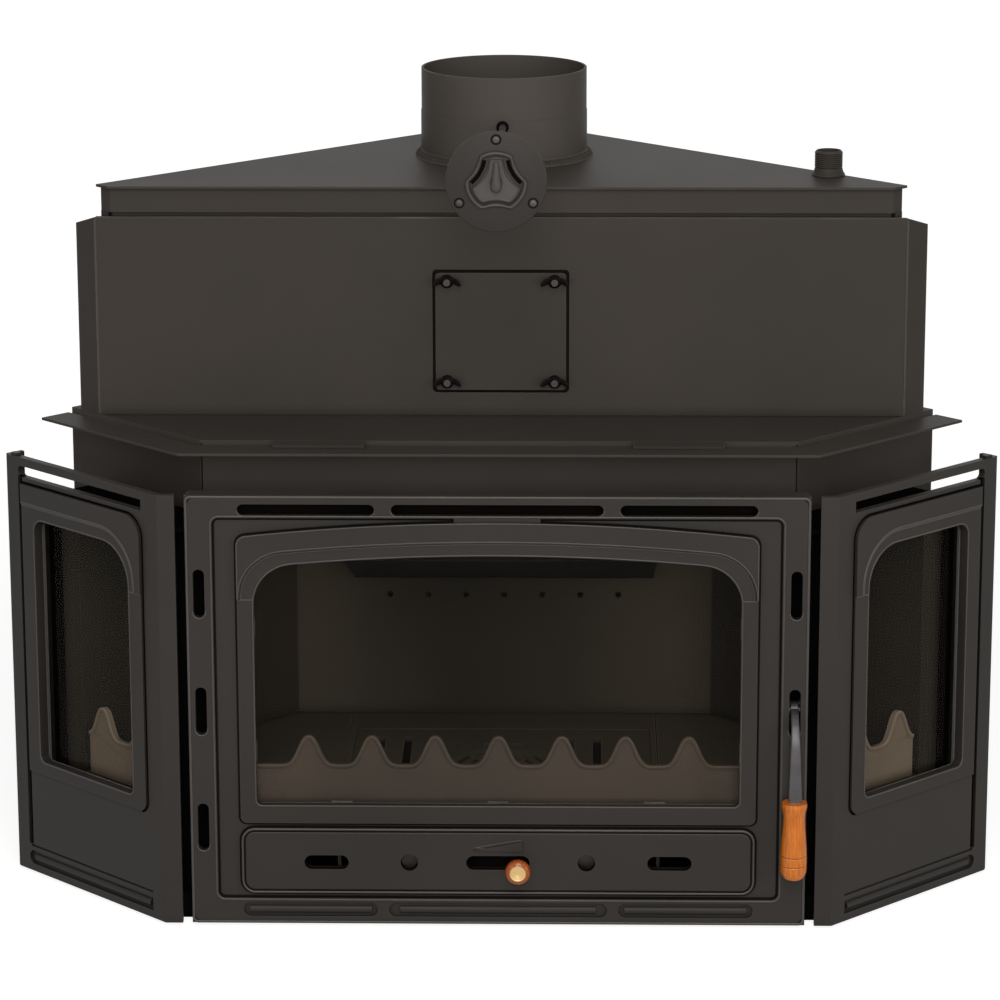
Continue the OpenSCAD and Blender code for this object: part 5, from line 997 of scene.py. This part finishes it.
def domed_lever():
    """The damper's lever: a drop-shaped outline of half width w(h) from 24 mm above its pivot
    to 11 mm below it, its section flat behind and raised in front by 3.9 sqrt(w/6) sin(t)^0.7,
    on a round boss."""
    h = np.concatenate([-5 - 6 * np.cos(np.linspace(0.03, np.pi / 2, 10)), np.linspace(-4, 21, 18),
                        21 + 2.5 * np.sin(np.linspace(0.1, np.pi / 2 - 0.03, 8))])[:, None]
    w = np.where(h < -5, np.sqrt(np.clip(36 - (h + 5) ** 2, 0.04, None)), 6 - 3.5 * (h + 5) / 26)
    w = np.where(h > 21, np.sqrt(np.clip(6.25 - (h - 21) ** 2, 0.04, None)), w)
    t = np.linspace(0, 2 * np.pi, 24, endpoint=False)[None]
    top = 3.9 * np.sqrt(w / 6) * np.clip(np.sin(t), 0, None) ** 0.7
    verts = np.stack([w * np.cos(t), h + 0 * t, 4.65 + top], -1).reshape(-1, 3)
    boss = lathe([(4.05, 1.35), (5.5, 1.35), (5.95, 1.8), (5.95, 4.8), (4.05, 4.8)], (0, 0, 0), "z",
                 40, True)
    return joined((verts, capped(len(h), 24)), boss)


# The lever takes the highlight paint: lighter as a painted highlight
build("lever_domed", *on_rosette(domed_lever()), HIGHLIGHT_PAINT, "damper", ["damper_lever"])

# Screws of the rosette plate and painted shadow rings round them: (radius, along the screw)
head = [(0.0, 0.9), (1.0, 0.9), (1.3, 2.2), (2.6, 1.9), (3.8, 1.1), (4.3, 0.1), (2.7, -0.1), (2.7, -8.0),
        (0.0, -8.0)]
seat_shadow = [(4.3, -0.2), (4.3, 0.2), (5.9, 0.2), (6.1, -0.2)]
for i, angle in enumerate((90, 210, 330)):
    turn = math.radians(angle)
    place = (ROSETTE_BOLTS * math.cos(turn), ROSETTE_FACE, rod_z + ROSETTE_BOLTS * math.sin(turn))
    screw, ring = ([(r, -along) for r, along in shape] for shape in (head, seat_shadow))
    build(f"rosette_screw_{i + 1}", *lathe(screw, place, "y", 24), FITTING, "insert")
    build(f"rosette_screw_shadow_{i + 1}", *lathe(ring, place, "y", 32, True), GROOVE_SHADE, "insert")

# Latch lever: the place of its pivot and its thickness
LATCH_Y, LATCH_Z, LATCH_W = -437.0, 260.0, 9.0


def latch_forged():
    """The lever as forged: a round-edged bar whose middle line runs out of the slot and bends
    down to the grip while it grows wider, a bored hub, and the hook behind the door."""
    out = np.array([6.5, 12, 18, 25, 31, 36, 39, 40.6, 41, 41, 41, 41])
    down = np.array([0.3, 1.0, 3.0, 7.0, 12.5, 20, 29, 40, 55, 75, 90, 98.5])
    s = np.linspace(0, 1, 60)
    knots = np.linspace(0, 1, len(out))
    out, down = np.interp(s, knots, out), np.interp(s, knots, down)
    out = np.convolve(np.pad(out, 3, mode="edge"), np.ones(7) / 7, "valid")
    line = np.stack([-out, -down], -1)
    d = np.gradient(line, axis=0)
    d /= np.linalg.norm(d, axis=1)[:, None]
    normal = np.stack([d[:, 1], -d[:, 0]], -1)
    grow = np.clip((down - 8) / 86, 0, 1)
    half = 4.5 + 3.25 * grow
    shift = 0.75 * grow
    thick = 4.0 - 1.0 * np.clip(down / 40, 0, 1)
    t = np.linspace(0, 2 * np.pi, 28, endpoint=False)[None]
    c, q = np.cos(t), np.sin(t)
    across = shift[:, None] + half[:, None] * np.sign(c) * np.abs(c) ** 0.35
    over = thick[:, None] * np.sign(q) * np.abs(q) ** 0.45
    spot = line[:, None] + normal[:, None] * over[..., None]
    verts = np.stack([UPRIGHT_X + across, LATCH_Y + spot[..., 0], LATCH_Z + spot[..., 1]], -1)
    bar = (verts.reshape(-1, 3), capped(60, 28))
    half_w = LATCH_W / 2
    hub = lathe([(4.06, -half_w), (7.9, -half_w), (8.5, 0.6 - half_w), (8.5, half_w - 0.6), (7.9, half_w),
                 (4.06, half_w)], (UPRIGHT_X, LATCH_Y, LATCH_Z), "x", 40, True)
    side = np.array([(6, 6), (2, -8), (14, -22), (33, -22), (33, -5.2), (28, -5.2), (28, -12),
                     (16, -12)], float)
    hook = np.concatenate([np.column_stack([np.full(len(side), UPRIGHT_X + x), side + [LATCH_Y, LATCH_Z]])
                           for x in (-half_w, half_w)])
    return joined(bar, hub, (hook, capped(2, len(side))))


build("lever_forged", *latch_forged(), SHANK, "latch", ["latch_lever"])

# Wooden grip: radii by the share of the way down from its collar
GRIP_RINGS = (0.675, 0.795)
low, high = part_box("handle_grip")
grip_len = (high.z - low.z) / MM
share = [0.0, 0.012, 0.035, 0.075, 0.12, 0.19, 0.30, 0.45, 0.58, 0.70, 0.80, 0.87, 0.92, 0.955, 0.98, 0.995]
radius = [13.6, 14.6, 15.0, 14.4, 13.3, 12.5, 12.9, 14.0, 14.9, 15.3, 15.3, 15.0, 14.0, 12.2, 9.2, 5.0]
u = np.concatenate([np.linspace(0, 0.66, 46)[:-1], np.linspace(0.66, 0.80, 36)[:-1],
                    np.linspace(0.80, 0.995, 26)])
swell = np.interp(u, share, radius)
smooth = np.convolve(np.pad(swell, 2, mode="edge"), np.ones(5) / 5, "valid")
swell = np.where(u < 0.93, smooth, swell)
for ring in GRIP_RINGS:
    swell = swell - 0.7 * np.exp(-((u - ring) / 0.0055) ** 2)
profile = [(0.0, 0.0)] + [(r, -h * grip_len) for h, r in zip(u, swell)] + [(0.0, -grip_len)]
centre = ((low.x + high.x) / 2 / MM, (low.y + high.y) / 2 / MM, high.z / MM)
build("grip_turned", *lathe(profile, centre, "z", 72), WOOD, "latch", ["handle_grip"])
rings = []
for ring in GRIP_RINGS:
    r = np.interp(ring, share, radius) - 0.62
    groove = [(r + grow, -ring * grip_len + along)
              for grow, along in ((-0.4, -0.8), (0.12, -0.8), (0.12, 0.8), (-0.4, 0.8))]
    rings.append(lathe(groove, centre, "z", 72, True))
build("grip_burnt_rings", *joined(*rings), WOOD_DARK, "latch")

# Air knob: a wooden ring round a brass disc
low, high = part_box("air_knob")
centre = ((low.x + high.x) / 2 / MM, 0, (low.z + high.z) / 2 / MM)
back, front = high.y / MM, low.y / MM
t = np.linspace(-0.9, 1.25, 16)
body = [(0.0, back), (7.4, back), (8.2, back - 1.6)]
body += [(8.6 + 6.2 * math.cos(a), back - 8.6 - 6.4 * math.sin(a)) for a in t]
body += [(9.4, front + 1.6), (0.0, front + 1.6)]
build("knob_turned", *lathe(body, centre, "y", 56), KNOB_WOOD, "air_control", ["air_knob"])
disc = [(0.0, front + 2.4), (9.2, front + 2.4), (9.3, front + 0.9), (8.8, front + 0.3), (8.0, front + 0.25),
        (6.6, front + 0.7), (5.6, front + 0.55), (4.4, front + 0.75), (0.0, front + 0.85)]
build("knob_disc", *lathe(disc, centre, "y", 48), BRASS, "air_control")
